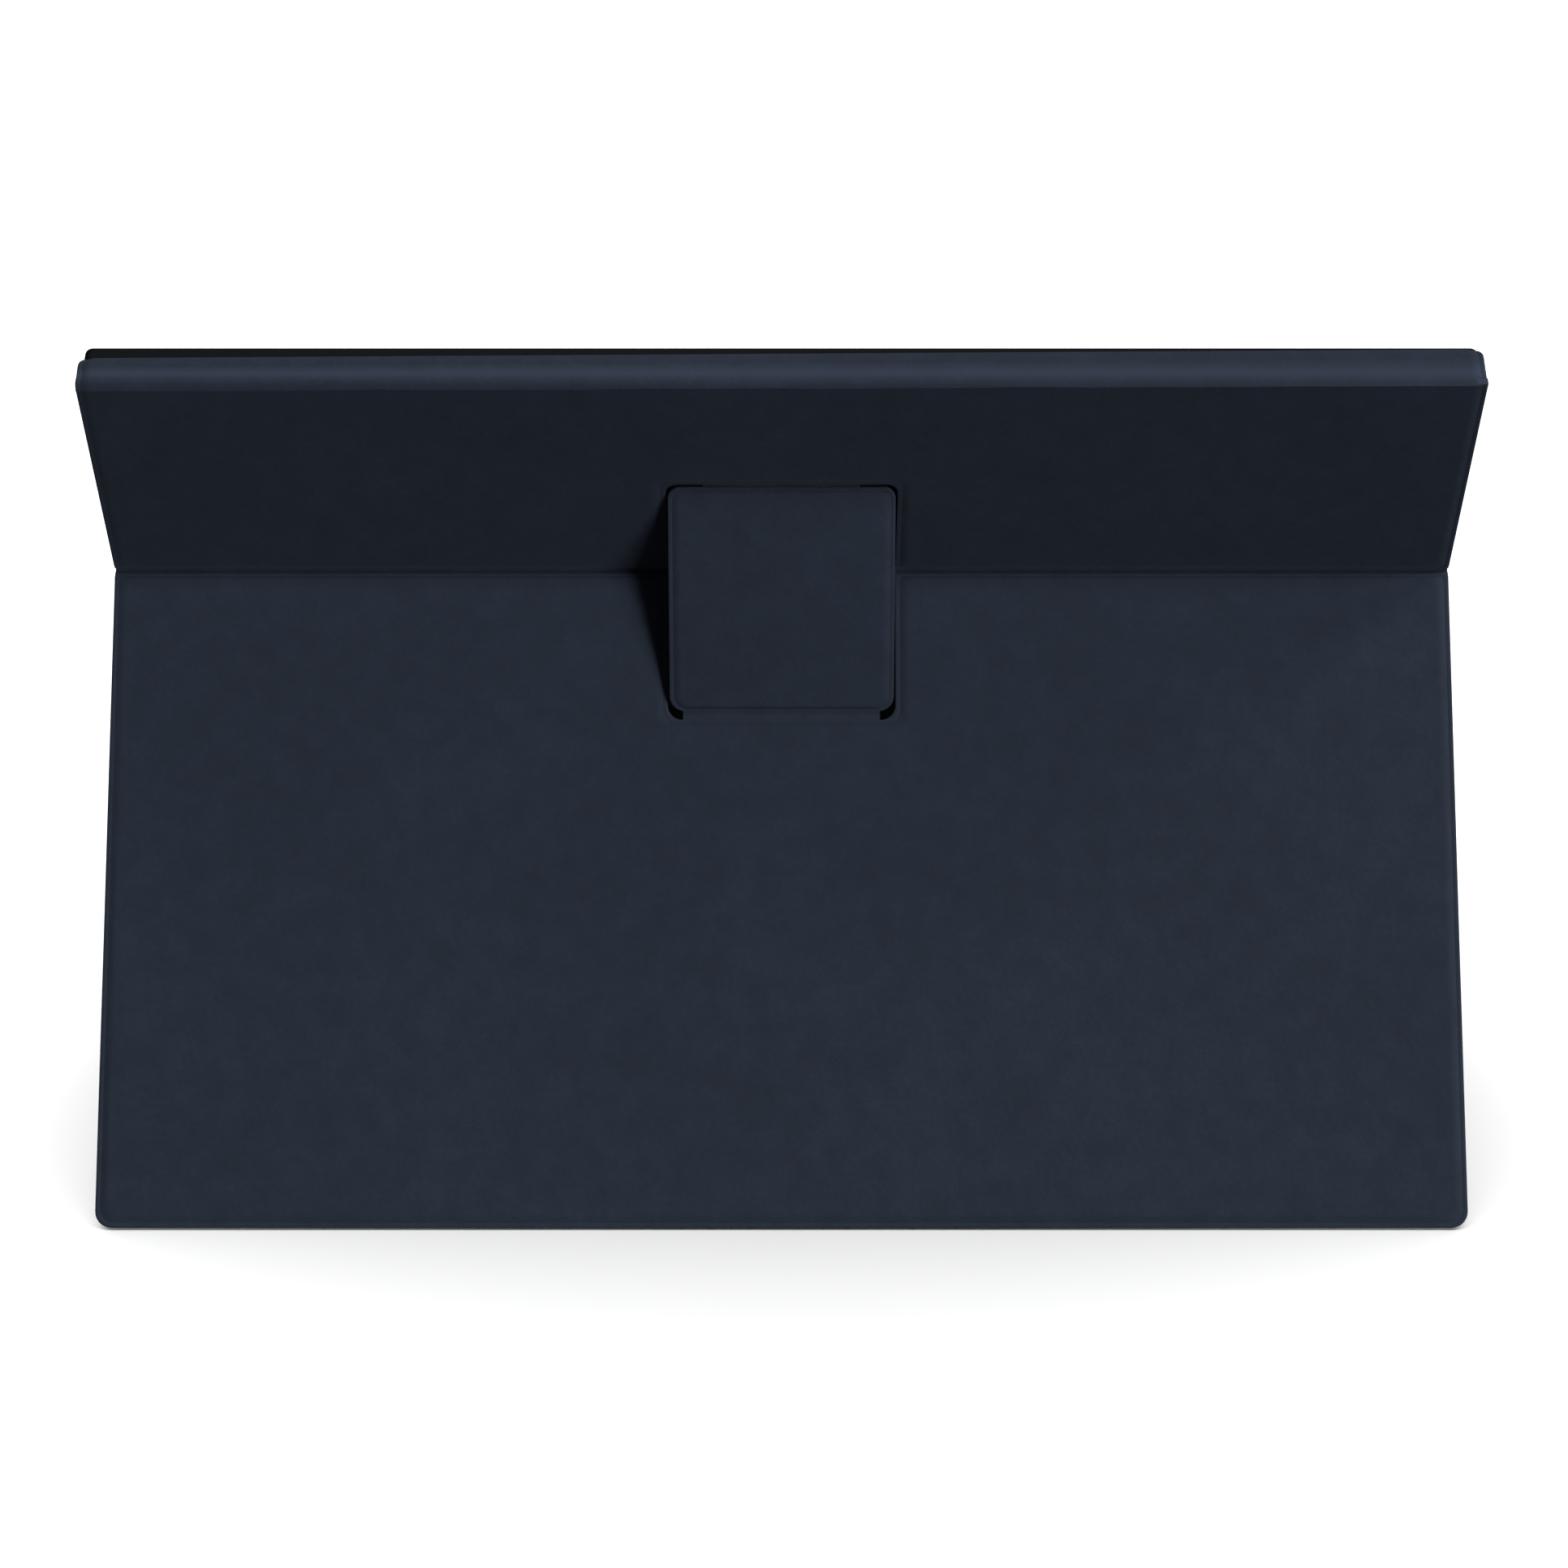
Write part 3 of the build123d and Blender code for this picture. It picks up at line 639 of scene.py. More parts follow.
@dataclass(frozen=True)
class Plane:
    """Where flat pieces of the cover lie: x across, up from the fold, and depth inwards."""

    origin: np.ndarray
    up: np.ndarray
    inward: np.ndarray

    def place(self, x: object, up: object, depth: object) -> np.ndarray:
        """Points of the flat pattern, put where the piece is.

        Args:
            x: how far across, in metres.
            up: how far up from the fold line.
            depth: how far inwards from the outer face.

        Returns:
            The points, as (..., xyz): the origin plus up and depth along their two directions.
        """
        x, up, depth = np.broadcast_arrays(x, up, depth)
        across = np.stack([x, np.zeros_like(x, float), np.zeros_like(x, float)], axis=-1)
        return self.origin + across + up[..., None] * self.up + depth[..., None] * self.inward

    def swung(self, up: float, depth: float, degrees: float) -> "Plane":
        """The plane turned about the line across it at (up, depth).

        Args:
            up: the line's height in the pattern.
            depth: the line's depth.
            degrees: the angle, from up towards inwards.

        Returns:
            The turned plane.
        """
        c, s = cos(radians(degrees)), sin(radians(degrees))
        new_up, new_inward = self.up * c + self.inward * s, self.inward * c - self.up * s
        pivot = self.place(0.0, up, depth)
        return Plane(pivot - up * new_up - depth * new_inward, new_up, new_inward)


@dataclass(frozen=True)
class CoverSizes:
    """Sizes that the cover's pieces share, in millimetres."""

    half_width: float = 147.75
    lean: float = 33.0
    hinge_depth: float = 0.7
    tab_hinge_down: float = 32.8
    fold_edge: float = 1.0
    panel_top: float = 59.6
    foot: float = -144.95
    notch_half: float = 25.05
    notch_top: float = 28.3
    notch_bottom: float = -33.8
    tray_half: float = 147.0
    tray_top: float = 59.0
    tray_bottom: float = -143.5
    tray_back: float = 2.3
    tray_front: float = 11.7


SIZES = CoverSizes()


class Planes:
    """The planes of the tray, the leg and the tab, found from the joints' axes."""

    def __init__(self, joints: list) -> None:
        """Reads the fold's place and the two opening angles."""
        by_name = {j["name"]: j for j in joints}
        lean = radians(SIZES.lean)
        up, inward = np.array((0, sin(lean), cos(lean))), np.array((0, -cos(lean), sin(lean)))
        fold = np.array(by_name["leg_fold"]["pos_m"])
        depth = SIZES.hinge_depth * MM
        self.tray = Plane(fold - depth * inward, up, inward)
        self.leg = self.tray.swung(0.0, depth, -by_name["leg_fold"]["range_deg"][0])
        opened = by_name["tab_fold"]["range_deg"][1]
        self.tab = self.leg.swung(-SIZES.tab_hinge_down * MM, depth, -opened)
        self.deck_axis = np.array(by_name["deck_fold"]["pos_m"])


PLANES = Planes(frame["joints"])


# Profiles across a panel's border, as inset and depth in millimetres: from the flat plateau down
# the soft step to the pressed rim, a fine crease at the step's foot, the cut edge, and back behind.
STEP = (
    (3.4, 0.0), (3.05, 0.0), (2.8, 0.006), (2.5, 0.035), (2.2, 0.095), (1.9, 0.18), (1.6, 0.285),
    (1.35, 0.375), (1.16, 0.45), (1.03, 0.5), (0.93, 0.475), (0.78, 0.45), (0.4, 0.445),
    (0.2, 0.475), (0.07, 0.55), (0.0, 0.68),
)  # fmt: skip
SKIN_BACK = ((0.0, 0.93), (0.05, 1.0), (0.4, 1.02), (1.1, 1.02), (1.9, 0.8), (2.7, 0.6), (3.4, 0.57))
BONDED_BACK = (
    (0.0, 2.1), (0.1, 2.29), (0.5, 2.29), (2.35, 2.29), (2.45, 2.2), (2.5, 0.62), (3.4, 0.59),
)  # fmt: skip
LINING_FRONT = ((3.4, 1.61), (2.7, 1.6), (1.9, 1.33), (1.1, 1.06), (0.3, 1.04), (0.05, 1.06))
LINING_STEP = (
    (0.0, 1.14), (0.0, 1.36), (0.06, 1.48), (0.2, 1.56), (0.4, 1.59), (0.9, 1.6), (1.1, 1.64),
    (1.5, 1.75), (2.0, 1.89), (2.5, 1.98), (2.9, 2.0), (3.4, 2.0),
)  # fmt: skip


def pressed_at(inset: np.ndarray) -> np.ndarray:
    """How firmly the fabric is pressed at an inset in millimetres: 1 on the rim, 0 on the plateau."""
    share = np.clip((2.2 - np.asarray(inset, float)) / 1.2, 0, 1)
    return share * share * (3 - 2 * share)


def edge_highlight_at(inset: np.ndarray) -> np.ndarray:
    """How strong the painted highlight along the cut edge is at an inset in millimetres: 1 at the edge itself."""
    return np.clip(1 - np.asarray(inset, float) / 0.12, 0, 1)


def panel(outline: Outline, profile: tuple, plane: Plane) -> Shell:
    """Carries a border profile round an outline.

    Args:
        outline: the panel's outline.
        profile: insets and depths in millimetres.
        plane: where the panel lies.

    Returns:
        The shell, which is one ring of points for each step of the profile.
    """
    rings = [plane.place(*outline.ring(inset).T, depth * MM) for inset, depth in profile]
    insets = np.array([inset for inset, _ in profile])
    # the cut mark carries the painted highlight along the panel's cut edge
    return loft(np.stack(rings), pressed=pressed_at(insets), cut=edge_highlight_at(insets))


def extruded(outline: Outline, profile: tuple, centre: tuple, **marks: np.ndarray) -> Shell:
    """A flat-lying solid with a shaped edge.

    Args:
        outline: its plan, in millimetres.
        profile: insets and heights in millimetres, from the one flat face to the other.
        centre: what is added to its x and y, in metres.
        marks: one number for each step of the profile.

    Returns:
        The shell.
    """
    rings = []
    for inset, height in profile:
        flat = outline.ring(inset) + np.array(centre)
        rings.append(np.column_stack([flat, np.full(len(flat), height * MM)]))
    return loft(np.stack(rings), **marks)


def ribbon(half_w: tuple, reach: tuple, thickness: tuple, place: object) -> Shell:
    """A strip of fabric over a hinge line.

    Args:
        half_w: its lowest and highest x, in metres.
        reach: how far it goes to each side of the hinge line.
        thickness: the depths of its two faces.
        place: gives points for x, distance from the hinge line, and depth.

    Returns:
        The shell, on a grid along x and across the line.
    """
    x, s = np.meshgrid(np.linspace(*half_w, 30), np.linspace(*reach, 17), indexing="ij")
    return closed_sheet(place(x, s, thickness[0]), place(x, s, thickness[1]))


def between(a: object, b: object, width: float, valley: float = 0.0) -> object:
    """Blends two ways to place a strip, from a at negative distances to b at positive ones.

    Args:
        a: places points for x, distance and depth before the hinge line.
        b: places them after it.
        width: how far to each side the blend reaches.
        valley: how much deeper the strip is creased along the hinge line, in metres.

    Returns:
        A function that places points: a times 1 - w plus b times w, w rising smoothly.
    """

    def place(x: np.ndarray, s: np.ndarray, depth: float) -> np.ndarray:
        """Places points on the blended strip."""
        w = np.clip((s + width) / (2 * width), 0, 1)
        w = (w * w * (3 - 2 * w))[..., None]
        depth = depth + valley * np.exp(-((s / VALLEY_HALF) ** 2))
        return a(x, s, depth) * (1 - w) + b(x, s, depth) * w

    return place


# ---------------------------------------------------------------------------------------------
# The cover


@dataclass(frozen=True)
class Leg:
    """The lower half of the cover, swung out as a leg, with the notch that the tab leaves."""

    foot_radius: float = 3.6
    fold_rim: float = 0.42
    notch_rim: float = 1.0
    notch_foot_rim: float = 0.55

    def outline(self) -> Outline:
        """The leg's plan, anticlockwise from its left foot."""
        w, n, top, low = SIZES.half_width, SIZES.notch_half, -SIZES.fold_edge, SIZES.notch_bottom
        corners = (
            Corner(-w, SIZES.foot, self.foot_radius, 2.4),
            Corner(w, SIZES.foot, self.foot_radius, 2.4),
            Corner(w, top, 0.5, 3.2, self.fold_rim),
            Corner(n, top, 0.6, 2.3, self.notch_rim),
            Corner(n, low, 3.2, 1.2, self.notch_foot_rim),
            Corner(-n, low, 3.2, 1.2, self.notch_rim),
            Corner(-n, top, 0.6, 2.3, self.fold_rim),
            Corner(-w, top, 0.5, 3.2),
        )
        return Outline(corners)

    def flat(self) -> tuple:
        """Its cut size, and its area without the notch, in metres."""
        width, length = 2 * SIZES.half_width * MM, -(SIZES.foot + SIZES.fold_edge) * MM
        notch = 2 * SIZES.notch_half * (-SIZES.notch_bottom - SIZES.fold_edge) * MM * MM
        return (width, length), width * length - notch

    def build(self) -> None:
        """Makes the skin and the lining, which ride on the leg."""
        skin = panel(self.outline(), STEP + SKIN_BACK, PLANES.leg)
        skin = skin.piece("leg_outer_skin", Slot.FABRIC)
        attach(skin, "leg")
        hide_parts("leg_skin")
        lining = panel(self.outline(), LINING_FRONT + LINING_STEP, PLANES.leg)
        lining = lining.piece("leg_inner_lining", Slot.LINING)
        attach(lining, "leg")
        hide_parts("leg_lining")


@dataclass(frozen=True)
class StrutTab:
    """The tab that swings out of the leg and props the tray up."""

    half_width: float = 24.65
    low: float = -31.8
    high: float = 18.6
    tip_radius: float = 2.4
    root_radius: float = 3.4

    def outline(self) -> Outline:
        """The tab's plan, anticlockwise from its root."""
        w = self.half_width
        corners = (
            Corner(-w, self.low, self.root_radius, 2.2, 0.5),
            Corner(w, self.low, self.root_radius, 2.2, 0.9),
            Corner(w, self.high, self.tip_radius, 1.2, 0.8),
            Corner(-w, self.high, self.tip_radius, 1.2, 0.9),
        )
        return Outline(corners)

    def build(self) -> None:
        """Makes the skin, the lining and the bare fabric that joins them to the leg."""
        skin = panel(self.outline(), STEP + SKIN_BACK, PLANES.tab)
        skin = skin.piece("tab_outer_skin", Slot.FABRIC)
        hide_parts("tab_skin")
        lining = panel(self.outline(), LINING_FRONT + LINING_STEP, PLANES.tab)
        lining = lining.piece("tab_inner_lining", Slot.LINING)
        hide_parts("tab_lining")
        for sheet in (skin, lining):
            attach(sheet, "tab")
        line, bend, middle = -SIZES.tab_hinge_down * MM, 0.0012, 0.0008
        place = between(
            lambda x, s, d: PLANES.leg.place(x, line + s, d),
            lambda x, s, d: PLANES.tab.place(x, line + s, d),
            bend,
        )
        half = (self.half_width - self.root_radius + 0.4) * MM
        strip = ribbon((-half, half), (-0.0016, 0.0016), (0.00047, 0.00118), place)
        strip = strip.piece("tab_fold_strip", Slot.FABRIC)
        start = PLANES.leg.place(0.0, line - bend, middle)
        end = PLANES.tab.place(0.0, line + bend, middle)
        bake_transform(strip)
        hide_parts("tab_hinge_fabric")


@dataclass(frozen=True)
class UpperPanel:
    """The upper half of the cover, bonded to the tray's back and wrapped over its top wall.

    The wrap runs slightly askew: it starts lower and ends sooner at +x than at -x. Its first level
    row is a share of the way from the bend to the free edge. Each ripple is a height, a length and
    a shift along x, and the crown and the free edge's rounding are in metres too.
    """

    bend_start: tuple = (59.5, 57.9)
    bend_depth: tuple = (0.9, 1.7)
    wrap_end: tuple = (10.7, 8.1)
    onset: float = 48.0
    first_level: float = 0.3
    end_radius: float = 1.6
    crown: float = 0.00012
    ripples: tuple = ((0.00012, 0.011, 0.0), (0.0001, 0.0043, 1.0))
    edge_round: float = 0.00025
    fold_rim: float = 0.42
    notch_rim: float = 1.0

    def outline(self) -> Outline:
        """The flat panel's plan, anticlockwise from the fold, up to where the wrap starts."""
        w, n, low = SIZES.half_width, SIZES.notch_half, SIZES.fold_edge
        right, left = self.bend_start[1], self.bend_start[0]
        corners = (
            Corner(-w, low, 0.5, 2.4, self.fold_rim),
            Corner(-n, low, 0.5, 1.0, self.notch_rim),
            Corner(-n, SIZES.notch_top, 2.6, 1.2, self.notch_rim),
            Corner(n, SIZES.notch_top, 2.6, 1.2, self.notch_rim),
            Corner(n, low, 0.5, 1.0, self.fold_rim),
            Corner(w, low, 0.5, 2.4),
            Corner(w, right, 0.02, 0.02, 0.01),
            Corner(-w, left, 0.02, 0.02),
        )
        return Outline(corners)

    def askew(self, ends: tuple, x: np.ndarray) -> np.ndarray:
        """A size that runs evenly from the first end, at -x, to the second, at +x."""
        share = (x / (SIZES.half_width * MM) + 1) / 2
        return (ends[0] + (ends[1] - ends[0]) * share) * MM

    def wrap(self) -> Shell:
        """The fabric over the tray's top.

        Returns:
            The shell, on a grid across x and along the fabric. Along it, the section turns through
            an elliptic quarter that starts with a crease, and then runs level to the free edge. Its
            outer surface drops by the border profile towards both ends.
        """
        step = np.array(STEP)[::-1]
        inset, drop = step[:, 0] * MM, step[:, 1] * MM
        middle = np.linspace(-1, 1, 61)[1:-1]
        turn = np.linspace(radians(self.onset), pi / 2, 12)
        back = np.array((2.6, 1.6, 1.1, 0.75, 0.45, 0.22, 0.08, 0.0)) * MM
        radius = self.end_radius * MM
        closeness = np.clip(radius - back, 0, radius)
        corner = np.concatenate([np.zeros(len(turn) + 1), radius - np.sqrt(radius**2 - closeness**2)])
        half = SIZES.half_width * MM - corner
        core = half - inset[-1]
        left = -half[:, None] + inset[None]
        x = np.concatenate([left, core[:, None] * middle[None], -left[:, ::-1]], axis=1)
        flat = np.zeros(len(middle))
        lower = np.concatenate([drop, flat, drop[::-1]])[None, :, None]
        start, deep = self.askew(self.bend_start, x), self.askew(self.bend_depth, x)
        free, top = self.askew(self.wrap_end, x), SIZES.panel_top * MM
        wave = sum(high * np.sin(x / long + shift) for high, long, shift in self.ripples)
        start = start + wave * np.clip(1 - np.abs(x) / (SIZES.half_width * MM), 0, 1) ** 0.5
        rows = len(turn)
        angle = np.concatenate([turn, np.full(len(half) - rows, pi / 2)])[:, None]
        onset = radians(self.onset)
        up = start + (top - start) * (np.sin(angle) - sin(onset)) / (1 - sin(onset))
        depth = deep * (cos(onset) - np.cos(angle)) / cos(onset)
        run = free - deep
        late = np.zeros(len(half))
        late[rows:] = 1
        steps = np.concatenate([back[:1] * 0, back])
        far = np.where(np.arange(len(half)) == rows, self.first_level, 0.0)[:, None] * run
        from_end = np.concatenate([np.zeros(rows), steps[: len(half) - rows]])[:, None]
        level_depth = np.where(far > 0, deep + far, free - from_end)
        depth = np.where(late[:, None] > 0, level_depth, depth)
        crown = self.crown * np.sin(pi * np.clip((depth - deep * 0.3) / (free - deep * 0.3), 0, 1))
        rise, sink = np.sin(angle)[..., None], np.cos(angle)[..., None]
        normal = rise * PLANES.tray.up - sink * PLANES.tray.inward
        edge_gap = np.clip(self.edge_round - from_end[:, 0], 0, 1)
        round_off = np.where(late > 0, edge_gap**2 / self.edge_round, 0)
        surface = PLANES.tray.place(x, up + crown - round_off[:, None], depth)
        outer = surface - normal * lower
        inner = surface - normal * np.maximum(lower + 0.0004, 0.00055)
        insets = np.concatenate([step[:, 0], np.full(len(middle), 3.4), step[::-1, 0]])
        # painted highlight along the wrap's cut sides and its free edge, carried by the cut mark
        edge = np.maximum(edge_highlight_at(insets)[None], (from_end < 0.0002) * late[:, None])
        pressed = np.broadcast_to(pressed_at(insets)[None], edge.shape)
        return closed_sheet(outer, inner, pressed=pressed, cut=edge)

    def build(self) -> None:
        """Makes the panel and its wrap as one piece, which rides on the tray."""
        shell = panel(self.outline(), STEP + BONDED_BACK, PLANES.tray).joined(self.wrap())
        skin = shell.piece("upper_outer_skin", Slot.FABRIC)
        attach(skin, "tray")
        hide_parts("upper_skin")


@dataclass(frozen=True)
class FoldStrips:
    """The two strips of bare fabric that join the leg to the upper panel, beside the notch."""

    reach: float = 0.0016
    bend: float = 0.0011
    faces: tuple = (0.00047, 0.00125)
    valley: float = 0.0009

    def build(self) -> None:
        """Makes them as one piece, shaped to curve from the leg's plane to the tray's."""
        place = between(PLANES.leg.place, PLANES.tray.place, self.bend, self.valley)
        near, far = (SIZES.notch_half + 0.1) * MM, (SIZES.half_width - 0.1) * MM
        right = ribbon((near, far), (-self.reach, self.reach), self.faces, place)
        left = ribbon((-far, -near), (-self.reach, self.reach), self.faces, place)
        strips = right.joined(left).piece("leg_fold_strips", Slot.FABRIC)
        start = PLANES.tray.place(0.0, self.bend, 0.0009)
        end = PLANES.leg.place(0.0, -self.bend, 0.0009)
        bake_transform(strips)
        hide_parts("fold_hinge_fabric")


# ---------------------------------------------------------------------------------------------
# The tray and its spine bar


@dataclass(frozen=True)
class Tray:
    """The shallow moulded tray that holds the tablet, and the lining on its floor."""

    corner_radius: float = 2.0
    wall: float = 1.5
    slot_depth: float = 7.45
    slots: tuple = ((-1, 14.5, 34.0), (1, 26.0, 11.0), (1, -113.0, 6.0))
    slot_height: float = 3.6
    window: tuple = (18.6, 2.4)

    def shell(self) -> Shell:
        """The tray before its slots: one profile carried round its rounded outline.

        Returns:
            The shell. The profile goes over the back's edge, up the outer wall, over the lip and
            down the inner wall to the floor.
        """
        profile = (
            (5.0, 2.34), (1.2, 2.34), (0.7, 2.34), (0.35, 2.4), (0.12, 2.56), (0.0, 2.85),
            (0.0, 11.1), (0.03, 11.32), (0.12, 11.52), (0.28, 11.64), (0.48, 11.69), (0.7, 11.7),
            (1.9, 11.7), (2.06, 11.67), (2.16, 11.58), (2.2, 11.45), (2.2, 11.3), (2.12, 11.21),
            (2.0, 11.2), (1.5, 11.2), (1.5, 3.8), (1.6, 3.5), (1.9, 3.32), (2.4, 3.3), (6.0, 3.3),
        )  # fmt: skip
        r = self.corner_radius
        low, high = SIZES.tray_bottom, SIZES.tray_top
        steps = {"reach": self.wall, "arc_steps": 14}
        outline = box_outline(SIZES.tray_half, low, high, r, r - self.wall, **steps)
        rings = [PLANES.tray.place(*outline.ring(i).T, d * MM) for i, d in profile]
        return loft(np.stack(rings))

    def cutters(self) -> list:
        """The bodies that leave the side slots and the contact window in the walls."""
        made = []
        for side, up, length in self.slots:
            ends = np.array((side * (SIZES.tray_half - 3.4), side * (SIZES.tray_half + 2))) * MM
            plan = box_outline(length / 2, -self.slot_height / 2, self.slot_height / 2, 1.75, 1.75)
            ring = plan.ring(0.0)
            centre = (up * MM, self.slot_depth * MM)
            up_to, depth = ring[:, 0] + centre[0], ring[:, 1] + centre[1]
            made.append([PLANES.tray.place(x, up_to, depth) for x in ends])
        plan = box_outline(self.window[0] / 2, -self.window[1] / 2, self.window[1] / 2, 0.6, 0.6)
        ring = plan.ring(0.0)
        rows = (np.array((SIZES.tray_bottom - 1.5, SIZES.tray_bottom + 1.9)) * MM).tolist()
        depth = ring[:, 1] + self.slot_depth * MM
        made.append([PLANES.tray.place(ring[:, 0], u, depth) for u in rows])
        return [loft(np.stack(rings)) for rings in made]

    def build(self) -> None:
        """Makes the tray and its lining, which ride on the tray's own body."""
        base = self.shell().piece("tray_uncut", Slot.TRAY)
        tools = []
        for number, cutter in enumerate(self.cutters()):
            tool = cutter.piece(f"slot_cutter_{number}", Slot.TRAY)
            tools.append(tool)
            cut = base.modifiers.new(tool.name, "BOOLEAN")
            cut.operation, cut.solver, cut.object = "DIFFERENCE", "EXACT", tool
        bpy.context.view_layer.update()
        evaluated = base.evaluated_get(bpy.context.evaluated_depsgraph_get())
        mesh = bpy.data.meshes.new_from_object(evaluated)
        tray = dressed("tray_frame", mesh, Slot.TRAY)
        for spare in (base, *tools):
            bpy.data.objects.remove(spare)
        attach(tray, "tray")
        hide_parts("tray_shell")
        self.build_lining()

    def build_lining(self) -> None:
        """Makes the brushed lining on the tray's floor, its edge rounded over."""
        half = SIZES.tray_half - 1.52
        low, high = SIZES.tray_bottom + 1.52, SIZES.tray_top - 1.52
        outline = box_outline(half, low, high, 1.5, 1.3, reach=2.0)
        profile = (
            (3.0, 3.31), (0.1, 3.31), (0.0, 3.36), (0.0, 3.55), (0.05, 3.64), (0.16, 3.69),
            (0.35, 3.7), (3.0, 3.7),
        )  # fmt: skip
        lining = panel(outline, profile, PLANES.tray)
        lining.marks = {}
        lining = lining.piece("tray_floor_lining", Slot.LINING)
        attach(lining, "tray")
        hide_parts("tray_lining")


@dataclass(frozen=True)
class SpineBar:
    """The bar under the tray, in its fabric sleeve, and the strip that the deck hangs from."""

    half_length: float = 143.05
    height: float = 10.4
    rear_radius: float = 3.0
    front_radius: float = 1.2
    skin: float = 0.55
    strip_half: float = 137.0
    cable_half: float = 8.0

    def section(self, inset: float) -> np.ndarray:
        """The sleeve's section.

        Args:
            inset: how far it is drawn in, in millimetres.

        Returns:
            Points as (place, up and depth) in metres: down the back, round the rear edge by a
            quarter circle, along the bottom, round the front edge, and up the front.
        """
        low, top = SIZES.tray_bottom - self.height + inset, SIZES.tray_bottom - 0.02
        back, front = SIZES.tray_back + inset, SIZES.tray_front - inset
        rear, fore = self.rear_radius - inset, self.front_radius - inset
        turn = np.linspace(0, pi / 2, 9)
        s, c = np.sin(turn), np.cos(turn)
        rear_arc = np.column_stack([low + rear - rear * s, back + rear - rear * c])
        fore_arc = np.column_stack([low + fore - fore * c, front - fore + fore * s])
        down = np.column_stack([np.linspace(top, low + rear, 6)[:-1], np.full(5, back)])
        rise = np.column_stack([np.linspace(low + fore, top, 6)[1:], np.full(5, front)])
        return np.vstack([down, rear_arc, fore_arc, rise]) * MM

    def build(self) -> None:
        """Makes the sleeve, the hinge strip and the flat cable inside the strip."""
        outer, inner = self.section(0.0), self.section(self.skin)
        x = np.linspace(-1, 1, 41) * self.half_length * MM
        grids = [PLANES.tray.place(x[:, None], s[None, :, 0], s[None, :, 1]) for s in (outer, inner)]
        sleeve = closed_sheet(*grids).piece("spine_sleeve", Slot.FABRIC)
        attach(sleeve, "tray")
        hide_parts("spine_skin")
        up, inward = PLANES.tray.up, PLANES.tray.inward
        ahead, rise = np.array((0.0, -1.0, 0.0)), np.array((0.0, 0.0, 1.0))

        def along(direction: np.ndarray, lift: np.ndarray) -> object:
            """Places a strip's points from the hinge line along one direction."""

            def place(x: np.ndarray, s: np.ndarray, depth: float) -> np.ndarray:
                """Places points for x, distance and depth."""
                across = np.stack([x, 0 * x, 0 * x], axis=-1)
                return PLANES.deck_axis + across + s[..., None] * direction + depth[..., None] * lift

            return place

        bend = 0.0011
        place = between(along(inward, up), along(ahead, rise), bend)
        start, end = PLANES.deck_axis - bend * inward, PLANES.deck_axis + bend * ahead
        parts = (
            ("deck_fold_strip", self.strip_half, 0.0004, Slot.FABRIC, "deck_hinge_fabric"),
            ("deck_flat_cable", self.cable_half, 0.0001, Slot.FLEX, "hinge_flex"),
        )
        for name, half, thick, slot, node in parts:
            strip = ribbon((-half * MM, half * MM), (-0.0033, 0.0045), (-thick, thick), place)
            strip = strip.piece(name, slot)
            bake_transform(strip)
            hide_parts(node)


# ---------------------------------------------------------------------------------------------
# The keyboard deck


@dataclass(frozen=True)
class KeyRow:
    """One row of keys: how deep it is, and its keys' nodes and widths in key units."""

    pitch: float
    keys: tuple


